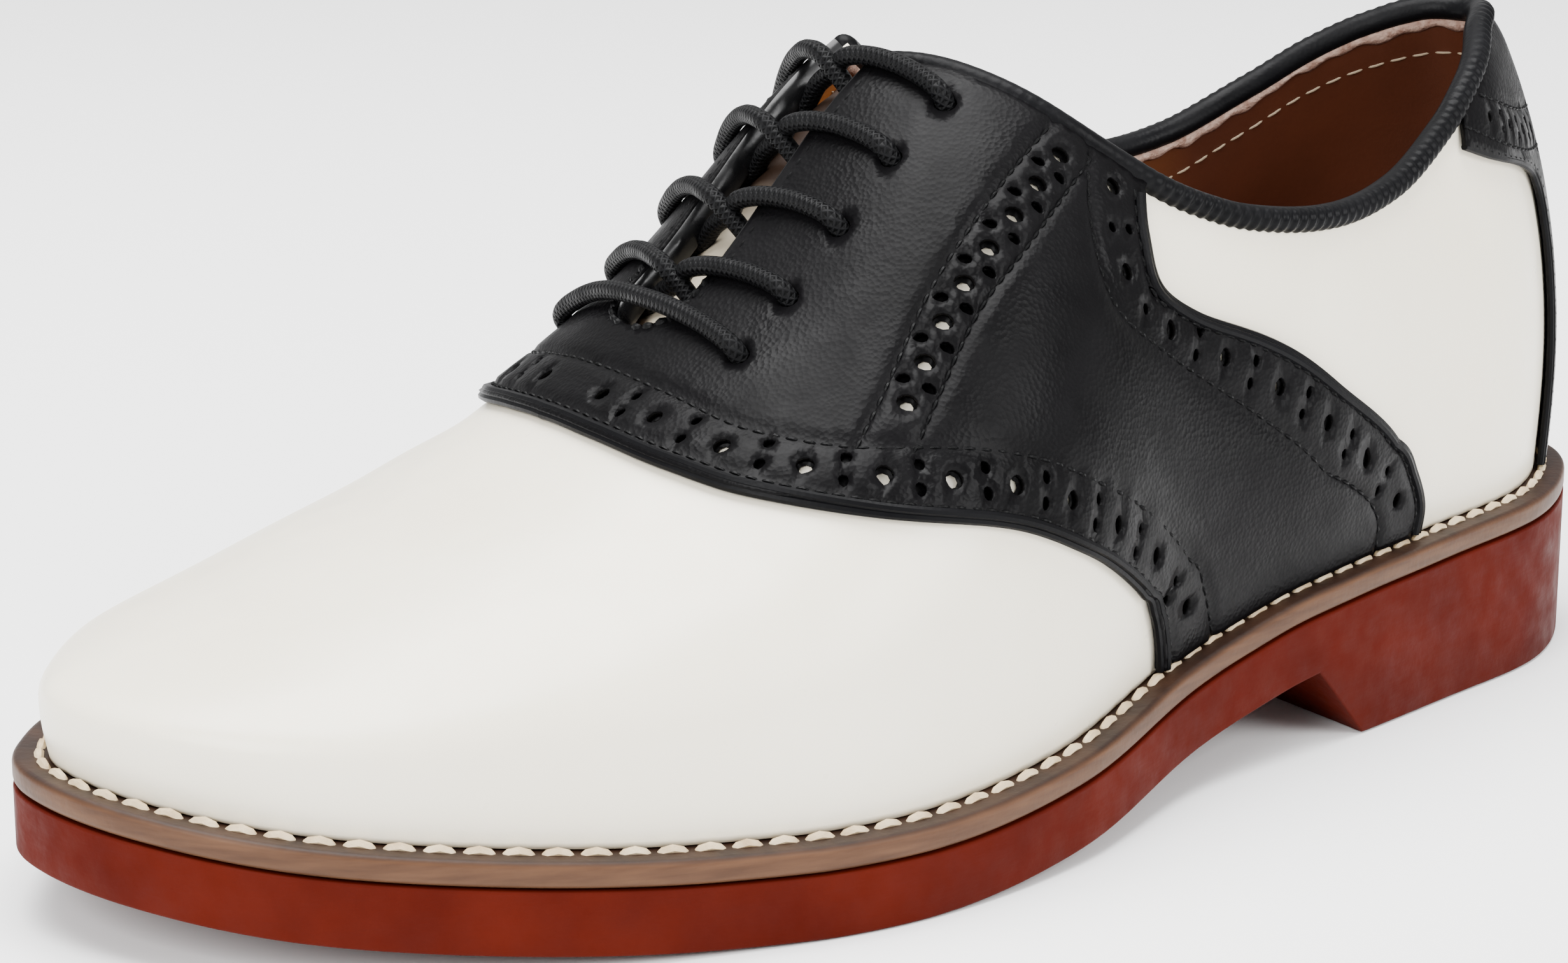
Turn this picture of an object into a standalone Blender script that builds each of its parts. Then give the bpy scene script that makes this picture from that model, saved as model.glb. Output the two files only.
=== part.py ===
# Left saddle shoe on a red rubber sole, standing empty on the floor.
# Metres. The toe points to -X, the shoe's outer (lateral) side to -Y, +Z is up.
# The origin is on the floor, under the middle of the shoe's box.
#
# The shoe's own coordinates are s, the distance from the heel's back towards the toe,
# y, positive to the lateral side, and z. A point of the last is named by a turn round
# the feather line, from -1 at the toe over the medial side to 0 at the heel's back and
# on over the lateral side to 1 at the toe, and by t, from 0 at the feather line to 1 at
# the ridge. A medial turn is minus the lateral one, and both sides meet at the ridge.
import math

import bmesh
import bpy
import numpy as np
from mathutils.geometry import delaunay_2d_cdt

MM = 0.001

# Overall sizes
SOLE_LENGTH = 305 * MM
BALL_WIDTH = 121 * MM
WELT_STEP = 5.5 * MM            # from the sole's edge in to the feather line
CLEAR = 0.3 * MM                # between pieces that lie on each other

# Sole edge: share of the sole length, half width on the lateral and the medial side
# as shares of the ball width
OUTLINE = [
    (0.00, 0.000, 0.000),
    (0.03, 0.150, 0.180),
    (0.09, 0.256, 0.275),
    (0.18, 0.318, 0.318),
    (0.29, 0.384, 0.300),
    (0.40, 0.436, 0.285),
    (0.52, 0.566, 0.320),
    (0.64, 0.614, 0.388),
    (0.75, 0.566, 0.415),
    (0.85, 0.483, 0.356),
    (0.93, 0.376, 0.250),
    (0.98, 0.225, 0.095),
    (1.00, 0.045, -0.045),
]

# Side view of the sole
HEEL_HEIGHT = 17.0 * MM         # outsole's underside above the floor at the heel's back
TOE_SPRING = 10.3 * MM
RUBBER = 10.0 * MM              # outsole's thickness
MIDSOLE = 4.4 * MM              # midsole with its welt, as thick as the brown edge
BREAST_FOOT = 0.263             # heel block's front at the floor, share of the length
BREAST_RAKE = 0.040             # how much further forward it is at its top
SHANK = [                       # share of the length, share of the heel height
    (0.000, 1.000),
    (0.100, 0.945),
    (0.200, 0.885),
    (0.270, 0.830),
    (0.320, 0.745),
    (0.360, 0.600),
    (0.400, 0.460),
    (0.450, 0.312),
    (0.500, 0.185),
    (0.550, 0.084),
    (0.600, 0.016),
    (0.625, 0.000),
    (1.000, 0.000),
]
SPRING = [                      # share of the length, share of the toe spring
    (0.000, 0.000),
    (0.685, 0.000),
    (0.750, 0.074),
    (0.800, 0.190),
    (0.850, 0.344),
    (0.900, 0.532),
    (0.950, 0.752),
    (1.000, 1.000),
]

# The last: its height and belly, each row a section at a share of the length
LAST_HEIGHT = 100 * MM          # ridge above the feather line where a share is 1
BELLY = 10 * MM                 # how far the last swells past the feather line
HEEL_PIVOT = 0.13               # behind it the sections fan round the heel
TOE_PIVOT = 0.885               # ahead of it they fan round the toe
PIVOT_EASE = 0.06
LOW = 0.22                      # share of t that the steep lower wall takes
SECTIONS = [
    # share, lateral and medial belly and its height as shares of the belly,
    # ridge as a share of the last's height, power of the side, power of the top
    (0.00, 0.12, 0.12, 1.8, 0.990, 1.35, 1.00),
    (0.05, 0.06, 0.06, 1.8, 1.012, 1.60, 1.00),
    (0.13, 0.10, 0.10, 1.9, 1.050, 1.38, 1.00),
    (0.30, 0.20, 0.15, 1.9, 1.140, 0.98, 1.00),
    (0.42, 0.15, 0.30, 1.7, 1.090, 0.98, 1.02),
    (0.52, 0.10, 0.20, 1.6, 0.965, 1.00, 0.98),
    (0.62, 0.08, 0.10, 1.5, 0.690, 0.98, 0.96),
    (0.72, 0.08, 0.08, 1.4, 0.477, 0.97, 0.93),
    (0.82, 0.10, 0.10, 1.3, 0.335, 0.97, 0.94),
    (0.90, 0.11, 0.11, 1.1, 0.235, 1.00, 0.95),
    (1.00, 0.12, 0.12, 0.9, 0.170, 1.00, 0.95),
]
RIDGE = [                       # share of the length, ridge's shift to the lateral side
    (0.00, -0.010),             # as a share of the ball width
    (0.30, -0.005),
    (0.52, -0.010),
    (0.62, 0.012),
    (0.72, 0.035),
    (0.85, 0.050),
    (1.00, 0.050),
]

# Upper
WALL = 2.2 * MM
TOPLINE = [                     # turn, t of the upper's top edge
    (0.000, 0.664),
    (0.100, 0.656),
    (0.160, 0.634),
    (0.200, 0.608),
    (0.230, 0.575),
    (0.264, 0.524),
    (0.311, 0.465),
    (0.353, 0.450),
    (0.387, 0.470),
    (0.409, 0.503),
    (0.441, 0.585),
    (0.469, 0.705),
    (0.485, 0.805),
    (0.497, 0.900),
    (0.510, 1.000),
    (1.000, 1.000),
]
SLOT_HALF = 7.6 * MM            # half the gap between the facings
SLOT_TOP = 0.497                # turn at the facings' top corners
SLOT_FOOT = 0.598               # turn at the gap's lower end
SLOT_ROUND = 0.014              # turn over which the gap's lower end rounds off

# Overlays that lie on the upper
PANEL_LIFT = 0.6 * MM           # panels above the upper, clear of its flats
LEATHER = 1.3 * MM
PANEL_FOOT = 0.012              # t where the panels begin above the welt
SADDLE_FRONT = [                # t, turn of the saddle's front edge
    (0.000, 0.446),
    (0.060, 0.447),
    (0.150, 0.455),
    (0.280, 0.491),
    (0.367, 0.530),
    (0.440, 0.560),
    (0.525, 0.589),
    (0.638, 0.615),
    (0.760, 0.629),
    (0.895, 0.635),
    (1.000, 0.636),
]
SADDLE_REAR = [                 # t, turn of its rear edge
    (0.000, 0.295),
    (0.068, 0.294),
    (0.140, 0.302),
    (0.217, 0.317),
    (0.292, 0.359),
    (0.370, 0.400),
    (0.425, 0.429),
    (0.468, 0.444),
    (0.525, 0.447),
    (0.600, 0.441),
]
TAB = [                         # share of the way up, half width of the heel's strip and tab
    (0.00, 0.46),               # as a share of the tab's
    (0.31, 0.47),
    (0.50, 0.46),
    (0.67, 0.49),
    (0.86, 0.54),
    (0.93, 0.68),
    (0.96, 0.88),
    (1.00, 1.00),
]
TAB_HALF = 0.250                # turn from the heel's back to the tab's front edge
TAB_STEP = 6.0 * MM
SADDLE_BACK = 0.6 * MM          # from the upper's facing edge to the saddle's
BINDING = 3.4 * MM              # collar binding's height below the top edge
BINDING_THICK = 1.5 * MM
BINDING_END = 0.013             # turn from the facing's corner to the binding's end
BINDING_CLEAR = 1.4 * MM        # from the binding down to the panels under it

# Inside
INSOLE = 3.0 * MM
TONGUE = 2.4 * MM
TONGUE_HALF = 25 * MM
TONGUE_TOP = 0.508              # share of the length
TONGUE_FOOT = 0.690

# Laces
LACE_RADIUS = 1.6 * MM
EYELET_REACH = 28 * MM          # from the ridge to each eyelet, over the leather
EYELETS = [0.638, 0.605, 0.571, 0.537, 0.502]   # shares of the length, lowest first
CROSS_DROP = 0.017              # how far below its row a pair of laces crosses


def column(table, k):
    return np.array([row[k] for row in table], float)


def curve(x, xs, ys):
    """Cubic through the rows (xs, ys), its slope at each the weighted mean of the chords beside it."""
    width = np.diff(xs)
    chord = np.diff(ys) / width
    inner = (chord[1:] * width[:-1] + chord[:-1] * width[1:]) / (xs[2:] - xs[:-2])
    slope = np.concatenate([chord[:1], inner, chord[-1:]])
    i = np.clip(np.searchsorted(xs, x, side="right") - 1, 0, len(xs) - 2)
    h = width[i]
    t = np.clip((x - xs[i]) / h, 0, 1)
    rise = t * t * (3 - 2 * t)
    return (1 - rise) * ys[i] + rise * ys[i + 1] + h * t * (1 - t) * ((1 - t) * slope[i] - t * slope[i + 1])


def read(table, x, k=1):
    """Column k of a table at x, along its first column."""
    return curve(np.asarray(x, float), column(table, 0), column(table, k))


def share_of(turn):
    """Share of the length at a turn: half of one minus the cosine of the turn."""
    return (1 - np.cos(math.pi * np.abs(turn))) / 2


def turn_of(share):
    return np.arccos(1 - 2 * np.clip(share, 0, 1)) / math.pi


def edge(turn):
    """Sole edge as s, y."""
    turn = (np.asarray(turn, float) + 1) % 2 - 1
    rows = turn_of(column(OUTLINE, 0))
    lateral = curve(np.abs(turn), rows, column(OUTLINE, 1))
    medial = -curve(np.abs(turn), rows, column(OUTLINE, 2))
    y = np.where(turn >= 0, lateral, medial) * BALL_WIDTH
    return np.stack([share_of(turn) * SOLE_LENGTH, y], -1)


def inset(turn, distance):
    """Sole edge moved in across its own direction."""
    turn = np.asarray(turn, float)
    along = edge(turn + 0.004) - edge(turn - 0.004)
    along = along / np.linalg.norm(along, axis=-1, keepdims=True)
    inward = np.stack([along[..., 1], -along[..., 0]], -1)
    return edge(turn) + inward * distance


def underside(s):
    """Outsole's underside above the floor, without the heel block."""
    share = s / SOLE_LENGTH
    shank = np.clip(read(SHANK, share), 0, None) * HEEL_HEIGHT
    return shank + np.clip(read(SPRING, share), 0, None) * TOE_SPRING


def seat(s):
    """Top of the midsole, on which the upper and the insole stand."""
    return underside(s) + RUBBER + MIDSOLE


def soft_clamp(x, low, high, ease):
    """x held between low and high, with a parabola over the ease on each side of a limit."""
    def past(d):
        return np.where(d < -ease, 0, np.where(d > ease, d, (d + ease) ** 2 / (4 * ease)))
    return x - past(x - high) + past(low - x)


def last(turn, t):
    """Point s, y, z of the last.

    Each section stands on its feather point and leans to its spine point. Below LOW the
    wall swells out by the belly times the sine of its height. Above, the distance from
    the spine falls as the cosine and the height rises as the sine of one quarter turn,
    each to its own power.
    """
    turn, t = np.broadcast_arrays(np.asarray(turn, float), np.asarray(t, float))
    foot = inset(turn, WELT_STEP)
    share = share_of(turn)
    c = soft_clamp(share, HEEL_PIVOT, TOE_PIVOT, PIVOT_EASE)
    spine_s = c * SOLE_LENGTH
    spine_y = read(RIDGE, c) * BALL_WIDTH
    out_s, out_y = foot[..., 0] - spine_s, foot[..., 1] - spine_y
    reach = np.hypot(out_s, out_y)
    out_s, out_y = out_s / reach, out_y / reach
    side = 0.5 + 0.5 * np.clip(out_y * 1.5, -1, 1)
    belly = (read(SECTIONS, share, 1) * side + read(SECTIONS, share, 2) * (1 - side)) * BELLY
    belly_z = read(SECTIONS, share, 3) * BELLY

    def crest(x):
        return seat(x * SOLE_LENGTH) + read(SECTIONS, x, 4) * LAST_HEIGHT
    slope = (crest(c + 0.01) - crest(c - 0.01)) / (0.02 * SOLE_LENGTH)
    base = seat(foot[..., 0]) + CLEAR
    quarter = math.pi / 2
    low = np.clip(t / LOW, 0, 1) * quarter
    high = np.clip((t - LOW) / (1 - LOW), 0, 1) * quarter
    wide = reach + belly
    r_high = wide * np.clip(np.cos(high), 0, 1) ** read(SECTIONS, share, 5)
    lift = np.clip(np.sin(high), 1e-9, 1) ** read(SECTIONS, share, 6)
    z_high = base + belly_z + (crest(c) - base - belly_z) * lift
    z_high = z_high + slope * r_high * out_s * (1 - (r_high / wide) ** 2)
    r = np.where(t >= LOW, r_high, reach + belly * np.sin(low))
    z = np.where(t >= LOW, z_high, base + belly_z * low / quarter)
    return np.stack([spine_s + r * out_s, spine_y + r * out_y, z], -1)


def outward(turn, t):
    """Unit normal of the last, out of the shoe."""
    step = 0.002
    t = np.clip(t, step, 1 - step)
    round_it = last(turn + step, t) - last(turn - step, t)
    up_it = last(turn, t + step) - last(turn, t - step)
    n = -np.cross(round_it, up_it)
    return n / np.linalg.norm(n, axis=-1, keepdims=True)


def slot_t(turn):
    """t at the facing's edge, where the gap's half width is left to the ridge."""
    u = np.abs(np.asarray(turn, float))
    c = share_of(u)
    foot = inset(turn, WELT_STEP)
    wide = np.hypot(foot[..., 0] - c * SOLE_LENGTH, foot[..., 1] - read(RIDGE, c) * BALL_WIDTH)
    end = np.clip((SLOT_FOOT - u) / SLOT_ROUND, 0, 1)
    half = SLOT_HALF * np.sqrt(1 - (1 - end) ** 2)
    swing = np.arccos(np.clip(half / wide, 0, 1) ** (1 / read(SECTIONS, c, 5)))
    beside = (u > SLOT_TOP - 0.08) & (u < SLOT_FOOT)
    return np.where(beside, LOW + (1 - LOW) * swing / (math.pi / 2), 1.0)


def top_t(turn):
    """t at the upper's top edge: the topline behind, the facing's edge, or the ridge."""
    return np.minimum(read(TOPLINE, np.abs(turn)), slot_t(turn))


def below(turn, t, distance):
    """t moved down the section by a distance."""
    span = np.linalg.norm(last(turn, t) - last(turn, t - 0.02), axis=-1) / 0.02
    return t - distance / span


def on_ridge(share, across, height):
    """Point beside the ridge: across it over the last, lateral positive, and off the surface."""
    points = []
    for c, w, h in zip(*np.broadcast_arrays(share, across, height)):
        turn = turn_of(c) * (1 if w >= 0 else -1)
        t = np.linspace(1, 0.4, 121)
        path = last(turn, t)
        run = np.concatenate([[0], np.cumsum(np.linalg.norm(np.diff(path, axis=0), axis=1))])
        here = np.interp(abs(w), run, t)
        points.append(last(turn, here) + outward(turn, here) * h)
    return np.array(points)


# The record's frame
EDGE_Y = edge(np.linspace(-1, 1, 721))[:, 1]
MIDDLE_Y = (EDGE_Y.max() + EDGE_Y.min()) / 2


def place(points):
    """s, y, z to the record's X, Y, Z."""
    points = np.asarray(points, float)
    return np.stack([SOLE_LENGTH / 2 - points[..., 0], MIDDLE_Y - points[..., 1], points[..., 2]], -1)


PATCH_SPAN = np.array([330 * MM, 92 * MM])      # rough length of a whole turn and of a whole t
PATCH_STEP = 6.5 * MM


def stations(count, low=0.0, high=1.0, fine=()):
    """Turns from low to high, spread evenly along the feather line, denser within the fine range."""
    u = np.linspace(low, high, 801)
    path = inset(u, WELT_STEP)
    weight = np.linalg.norm(np.diff(path, axis=0), axis=1)
    if fine:
        middle = (u[1:] + u[:-1]) / 2
        weight = weight * np.where((middle > fine[0]) & (middle < fine[1]), 2.2, 1.0)
    run = np.concatenate([[0], np.cumsum(weight)])
    return np.interp(np.linspace(0, run[-1], count + 1), run, u)


def material(name, colour, roughness):
    made = bpy.data.materials.new(name)
    made.use_nodes = True
    shader = made.node_tree.nodes["Principled BSDF"]
    shader.inputs["Base Color"].default_value = (*colour, 1)
    shader.inputs["Roughness"].default_value = roughness
    shader.inputs["Metallic"].default_value = 0
    return made


def add(name, vertices, faces, surface):
    """Object from points in the record's frame, with doubled points joined."""
    mesh = bpy.data.meshes.new(name)
    body = bmesh.new()
    made = [body.verts.new(tuple(p)) for p in vertices]
    for face in faces:
        body.faces.new([made[k] for k in face])
    bmesh.ops.remove_doubles(body, verts=body.verts, dist=1e-6)
    bmesh.ops.dissolve_degenerate(body, dist=1e-7, edges=body.edges)
    body.to_mesh(mesh)
    body.free()
    mesh.materials.append(surface)
    mesh.shade_smooth()
    mesh.set_sharp_from_angle(angle=math.radians(40))
    made = bpy.data.objects.new(name, mesh)
    bpy.context.collection.objects.link(made)
    return made


def grid_faces(rows, columns, start=0, flip=False, closed=False):
    """Quads of a grid of points numbered row by row; closed joins the last row to the first."""
    faces = []
    for i in range(rows if closed else rows - 1):
        for j in range(columns - 1):
            a = start + i * columns + j
            b = start + ((i + 1) % rows) * columns + j
            quad = [a, b, b + 1, a + 1]
            faces.append(quad[::-1] if flip else quad)
    return faces


def thicken(thing, thickness, offset):
    wall = thing.modifiers.new("Wall", "SOLIDIFY")
    wall.thickness = thickness
    wall.offset = offset
    wall.use_rim = True


def skin(name, turns, ts, surface, lift, thickness, offset, closed=False):
    """Sheet over the last, given per-point turns and ts in rows, lifted and thickened."""
    points = place(last(turns, ts) + outward(turns, ts) * lift)
    rows, columns = turns.shape
    faces = grid_faces(rows, columns, closed=closed, flip=True)
    thing = add(name, points.reshape(-1, 3), faces, surface)
    thicken(thing, thickness, offset)
    return thing


def along_loop(corners, step):
    """Points along a closed loop of turn, t corners, no further apart than the step."""
    corners = np.asarray(corners, float)
    points = []
    for a, b in zip(corners, np.roll(corners, -1, 0)):
        span = np.hypot(*((b - a) * PATCH_SPAN))
        count = max(1, math.ceil(span / step))
        points.extend(a + (b - a) * k / count for k in range(count))
    return np.array(points)


def fill(loop, step):
    """Triangles of a patch of the last: its loop's turn, t points, then points inside it."""
    low, high = loop.min(0), loop.max(0)
    columns = np.arange(low[0], high[0], step / PATCH_SPAN[0])
    rows = np.arange(low[1], high[1], step / PATCH_SPAN[1])
    inner = np.stack(np.meshgrid(columns, rows, indexing="ij"), -1).reshape(-1, 2)
    after = np.roll(loop, -1, 0)
    crossed = np.zeros(len(inner), bool)
    near = np.full(len(inner), np.inf)
    for a, b in zip(loop, after):
        between = (a[1] > inner[:, 1]) != (b[1] > inner[:, 1])
        rise = b[1] - a[1] if b[1] != a[1] else 1e-9
        crossed ^= between & (inner[:, 0] < a[0] + (inner[:, 1] - a[1]) * (b[0] - a[0]) / rise)
        near = np.minimum(near, np.hypot(*((inner - a) * PATCH_SPAN).T))
        near = np.minimum(near, np.hypot(*((inner - (a + b) / 2) * PATCH_SPAN).T))
    inner = inner[crossed & (near > 0.62 * step)]
    points = np.vstack([loop, inner])
    flat = [tuple(q) for q in points * PATCH_SPAN]
    made = delaunay_2d_cdt(flat, [], [list(range(len(loop)))], 1, 1e-7)
    where = np.array([tuple(q) for q in made[0]]) / PATCH_SPAN
    return where, [list(face) for face in made[2]]


def plate(name, turns, distance, low, high, surface):
    """Plate whose edge is the sole's moved in, between two heights that depend on s alone."""
    lateral = inset(turns, distance)
    medial = inset(-turns, distance)
    lateral[0, 1] = medial[0, 1] = (lateral[0, 1] + medial[0, 1]) / 2
    lateral[-1, 1] = medial[-1, 1] = (lateral[-1, 1] + medial[-1, 1]) / 2
    ring = []
    for level in (low, high):
        for side in (lateral, medial):
            ring.append(np.column_stack([side, level(side[:, 0])]))
    count = len(turns)
    faces = []
    for i in range(count - 1):
        faces.append([i, i + 1, count + i + 1, count + i])
        faces.append([2 * count + i, 3 * count + i, 3 * count + i + 1, 2 * count + i + 1])
        faces.append([i, 2 * count + i, 2 * count + i + 1, i + 1])
        faces.append([count + i, count + i + 1, 3 * count + i + 1, 3 * count + i])
    thing = add(name, place(np.vstack(ring)), faces, surface)
    return turn_out(thing)


def turn_out(thing):
    """Face normals of a closed body turned out."""
    body = bmesh.new()
    body.from_mesh(thing.data)
    bmesh.ops.recalc_face_normals(body, faces=body.faces)
    body.to_mesh(thing.data)
    body.free()
    return thing


def tube(name, path, radius, sides, surface):
    """Round bar with flat ends along a path of points in the shoe's coordinates."""
    path = place(path)
    along = np.gradient(path, axis=0)
    along /= np.linalg.norm(along, axis=1, keepdims=True)
    side = np.cross(along, (0, 0, 1))
    side /= np.linalg.norm(side, axis=1, keepdims=True)
    over = np.cross(side, along)
    angle = np.arange(sides) * 2 * math.pi / sides
    ring = np.cos(angle)[None, :, None] * side[:, None] + np.sin(angle)[None, :, None] * over[:, None]
    points = (path[:, None] + radius * ring).reshape(-1, 3)
    faces = []
    for i in range(len(path) - 1):
        for j in range(sides):
            k = (j + 1) % sides
            faces.append([i * sides + j, i * sides + k, (i + 1) * sides + k, (i + 1) * sides + j])
    faces.append(list(range(sides)))
    faces.append([len(points) - 1 - j for j in range(sides)])
    return turn_out(add(name, points, faces, surface))


def smooth_path(points, count):
    """Curve through points, evenly numbered."""
    points = np.asarray(points, float)
    k = np.arange(len(points), dtype=float)
    x = np.linspace(0, len(points) - 1, count)
    return np.stack([curve(x, k, points[:, j]) for j in range(points.shape[1])], -1)


def clear_scene():
    for thing in list(bpy.data.objects):
        bpy.data.objects.remove(thing, do_unlink=True)


def build():
    clear_scene()
    rubber = material("red rubber", (0.30, 0.035, 0.022), 0.75)
    brown = material("brown midsole", (0.16, 0.075, 0.04), 0.6)
    white = material("white leather", (0.84, 0.80, 0.71), 0.38)
    black = material("black leather", (0.012, 0.011, 0.012), 0.36)
    lining = material("tan lining", (0.33, 0.13, 0.05), 0.55)
    cord = material("black lace", (0.010, 0.010, 0.011), 0.6)

    # Sole: the outsole with its heel block, the midsole with the welt, the insole
    foot_s = BREAST_FOOT * SOLE_LENGTH
    head_s = (BREAST_FOOT + BREAST_RAKE) * SOLE_LENGTH
    turns = stations(44)
    flat = turn_of(np.array([0.625, 0.685]))
    breast = turn_of(np.array([BREAST_FOOT, BREAST_FOOT + BREAST_RAKE]))
    turns = turns[np.min(np.abs(turns[:, None] - np.concatenate([flat, breast])[None]), axis=1) > 0.004]
    turns = np.sort(np.concatenate([turns, flat, breast]))

    def floor_side(s):
        drop = np.clip((s - foot_s) / (head_s - foot_s), 0, 1)
        return np.where(s < head_s, drop * underside(head_s), underside(s))

    plate("outsole", turns, 0, floor_side, lambda s: underside(s) + RUBBER, rubber)
    plate("midsole", turns, 0, lambda s: underside(s) + RUBBER + CLEAR, seat, brown)
    plate("insole", turns, WELT_STEP + WALL + 2 * CLEAR,
          lambda s: seat(s) + CLEAR, lambda s: seat(s) + CLEAR + INSOLE, lining)

    # Upper: one wall, open below, at the collar and along the gap between the facings
    half = stations(50, fine=(0.46, 0.61))
    ring = np.concatenate([half, -half[-2:0:-1]])
    levels = np.linspace(0, 1, 12)
    turn_grid = np.repeat(ring[:, None], len(levels), 1)
    t_grid = top_t(ring)[:, None] * levels[None]
    skin("upper", turn_grid, t_grid, white, 0.0, WALL, -1, closed=True)

    # Saddle: one panel over both sides, joined across the vamp below the gap
    lift = PANEL_LIFT
    front = [(turn, t) for t, turn in zip(np.linspace(PANEL_FOOT, 1, 17),
                                          read(SADDLE_FRONT, np.linspace(PANEL_FOOT, 1, 17)))]
    ridge = [(turn, 1.0) for turn in np.linspace(SADDLE_FRONT[-1][1], SLOT_FOOT, 5)[1:]]
    facing = np.linspace(SLOT_FOOT - SLOT_ROUND / 2, SLOT_TOP, 13)
    rear_top = read(SADDLE_REAR, SADDLE_REAR[-1][0])
    collar = np.linspace(SLOT_TOP, rear_top, 8)
    collar_t = below(collar, read(TOPLINE, collar), BINDING + BINDING_CLEAR)
    rear_t = np.linspace(collar_t[-1], PANEL_FOOT, 15)[1:]
    rear = [(turn, t) for t, turn in zip(rear_t, read(SADDLE_REAR, rear_t))]
    panels = []
    for side in (1, -1):
        edge_t = below(side * facing, slot_t(side * facing), SADDLE_BACK)
        inside = [(u, t) for u, t in zip(facing, edge_t) if t < np.interp(u, collar[::-1], collar_t[::-1])
                  or u > SLOT_TOP + 0.004]
        top = [(u, t) for u, t in zip(collar, collar_t) if t < edge_t[-1]]
        loop = along_loop(front + ridge + inside + top + rear, PATCH_STEP)
        where, faces = fill(loop, PATCH_STEP)
        turn = side * where[:, 0]
        points = last(turn, where[:, 1]) + outward(turn, where[:, 1]) * lift
        panels.append((where, points, faces))
    (where, lateral, faces), (other, medial, back) = panels
    for k in np.flatnonzero(where[:, 1] > 1 - 1e-5):
        twin = np.argmin(np.hypot(*(other - where[k]).T))
        lateral[k] = medial[twin] = (lateral[k] + medial[twin]) / 2
    faces = [face[::-1] for face in faces] + [[len(lateral) + k for k in face] for face in back]
    saddle = add("saddle", place(np.vstack([lateral, medial])), faces, black)
    thicken(saddle, LEATHER, 1)

    # Heel tab with its strip down to the welt
    up = np.concatenate([np.linspace(0, 0.86, 10), [0.895, 0.93, 0.96]])
    side = read(TAB, up) * TAB_HALF
    tab_top = below(TAB_HALF, read(TOPLINE, TAB_HALF), BINDING + BINDING_CLEAR)
    side_t = PANEL_FOOT + up * (tab_top - PANEL_FOOT)
    upper_edge = np.linspace(TAB_HALF, -TAB_HALF, 17)
    upper_t = below(upper_edge, read(TOPLINE, np.abs(upper_edge)), BINDING + BINDING_CLEAR)
    loop = list(zip(side, side_t)) + list(zip(upper_edge, upper_t)) + list(zip(-side[::-1], side_t[::-1]))
    where, faces = fill(along_loop(loop, TAB_STEP), TAB_STEP)
    points = last(where[:, 0], where[:, 1]) + outward(where[:, 0], where[:, 1]) * lift
    backstay = add("backstay", place(points), [face[::-1] for face in faces], black)
    thicken(backstay, LEATHER, 1)

    # Collar binding along the topline
    collar = stations(36, 0, SLOT_TOP - BINDING_END)
    collar = np.concatenate([-collar[:0:-1], collar])
    high = np.minimum(read(TOPLINE, np.abs(collar)), slot_t(collar))
    low = below(collar, high, BINDING)
    binding_t = np.stack([low, (low + high) / 2, high], -1)
    skin("collar_binding", np.repeat(collar[:, None], 3, 1), binding_t, black, lift, BINDING_THICK, 1)

    # Tongue under the facings
    share = np.linspace(TONGUE_TOP, TONGUE_FOOT, 15)
    across = np.linspace(-1, 1, 9) * TONGUE_HALF
    deep = WALL + CLEAR + 0.2 * MM
    layer = np.stack([on_ridge(np.full(9, c), across, -deep) for c in share])
    tongue = add("tongue", place(layer).reshape(-1, 3), grid_faces(15, 9), white)
    thicken(tongue, TONGUE, -1)

    # Laces: a straight bar at the lowest eyelets, then a crossed pair for each row
    rest = lift + LEATHER + CLEAR + LACE_RADIUS
    reach = np.linspace(-1, 1, 15) * (EYELET_REACH - LACE_RADIUS)
    tube("lace_bar_1", on_ridge(np.full(15, EYELETS[0]), reach, rest), LACE_RADIUS, 8, cord)
    for k, row in enumerate(EYELETS[1:]):
        route = [                   # share of the length, across, height
            (row + CROSS_DROP * 1.2, -2.4 * MM, 1.2 * MM),
            (row + CROSS_DROP, 0.0, 1.8 * MM),
            (row + CROSS_DROP * 0.8, 2.4 * MM, 2.6 * MM),
            (row + CROSS_DROP * 0.55, SLOT_HALF, rest + 0.1 * MM),
            (row + CROSS_DROP * 0.25, SLOT_HALF * 1.9, rest),
            (row + CROSS_DROP * 0.05, SLOT_HALF * 2.8, rest),
            (row, EYELET_REACH - LACE_RADIUS, rest),
        ]
        route = smooth_path(route, 13)
        name = "lace_cross_" + str(k + 2)
        near = tube(name, on_ridge(*route.T), LACE_RADIUS, 8, cord)
        route[:, 1] *= -1
        far = tube(name + "_other", on_ridge(*route.T), LACE_RADIUS, 8, cord)
        join = near.modifiers.new("Join", "BOOLEAN")
        join.operation = "UNION"
        join.solver = "EXACT"
        join.object = far
        far.hide_render = True
        far.display_type = "WIRE"


build()
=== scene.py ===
# A left saddle shoe: white leather with a black punched saddle, black laces and a red
# rubber sole. The toe points to -X, the outer side to -Y, and the shoe stands on z = 0.
import math

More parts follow.
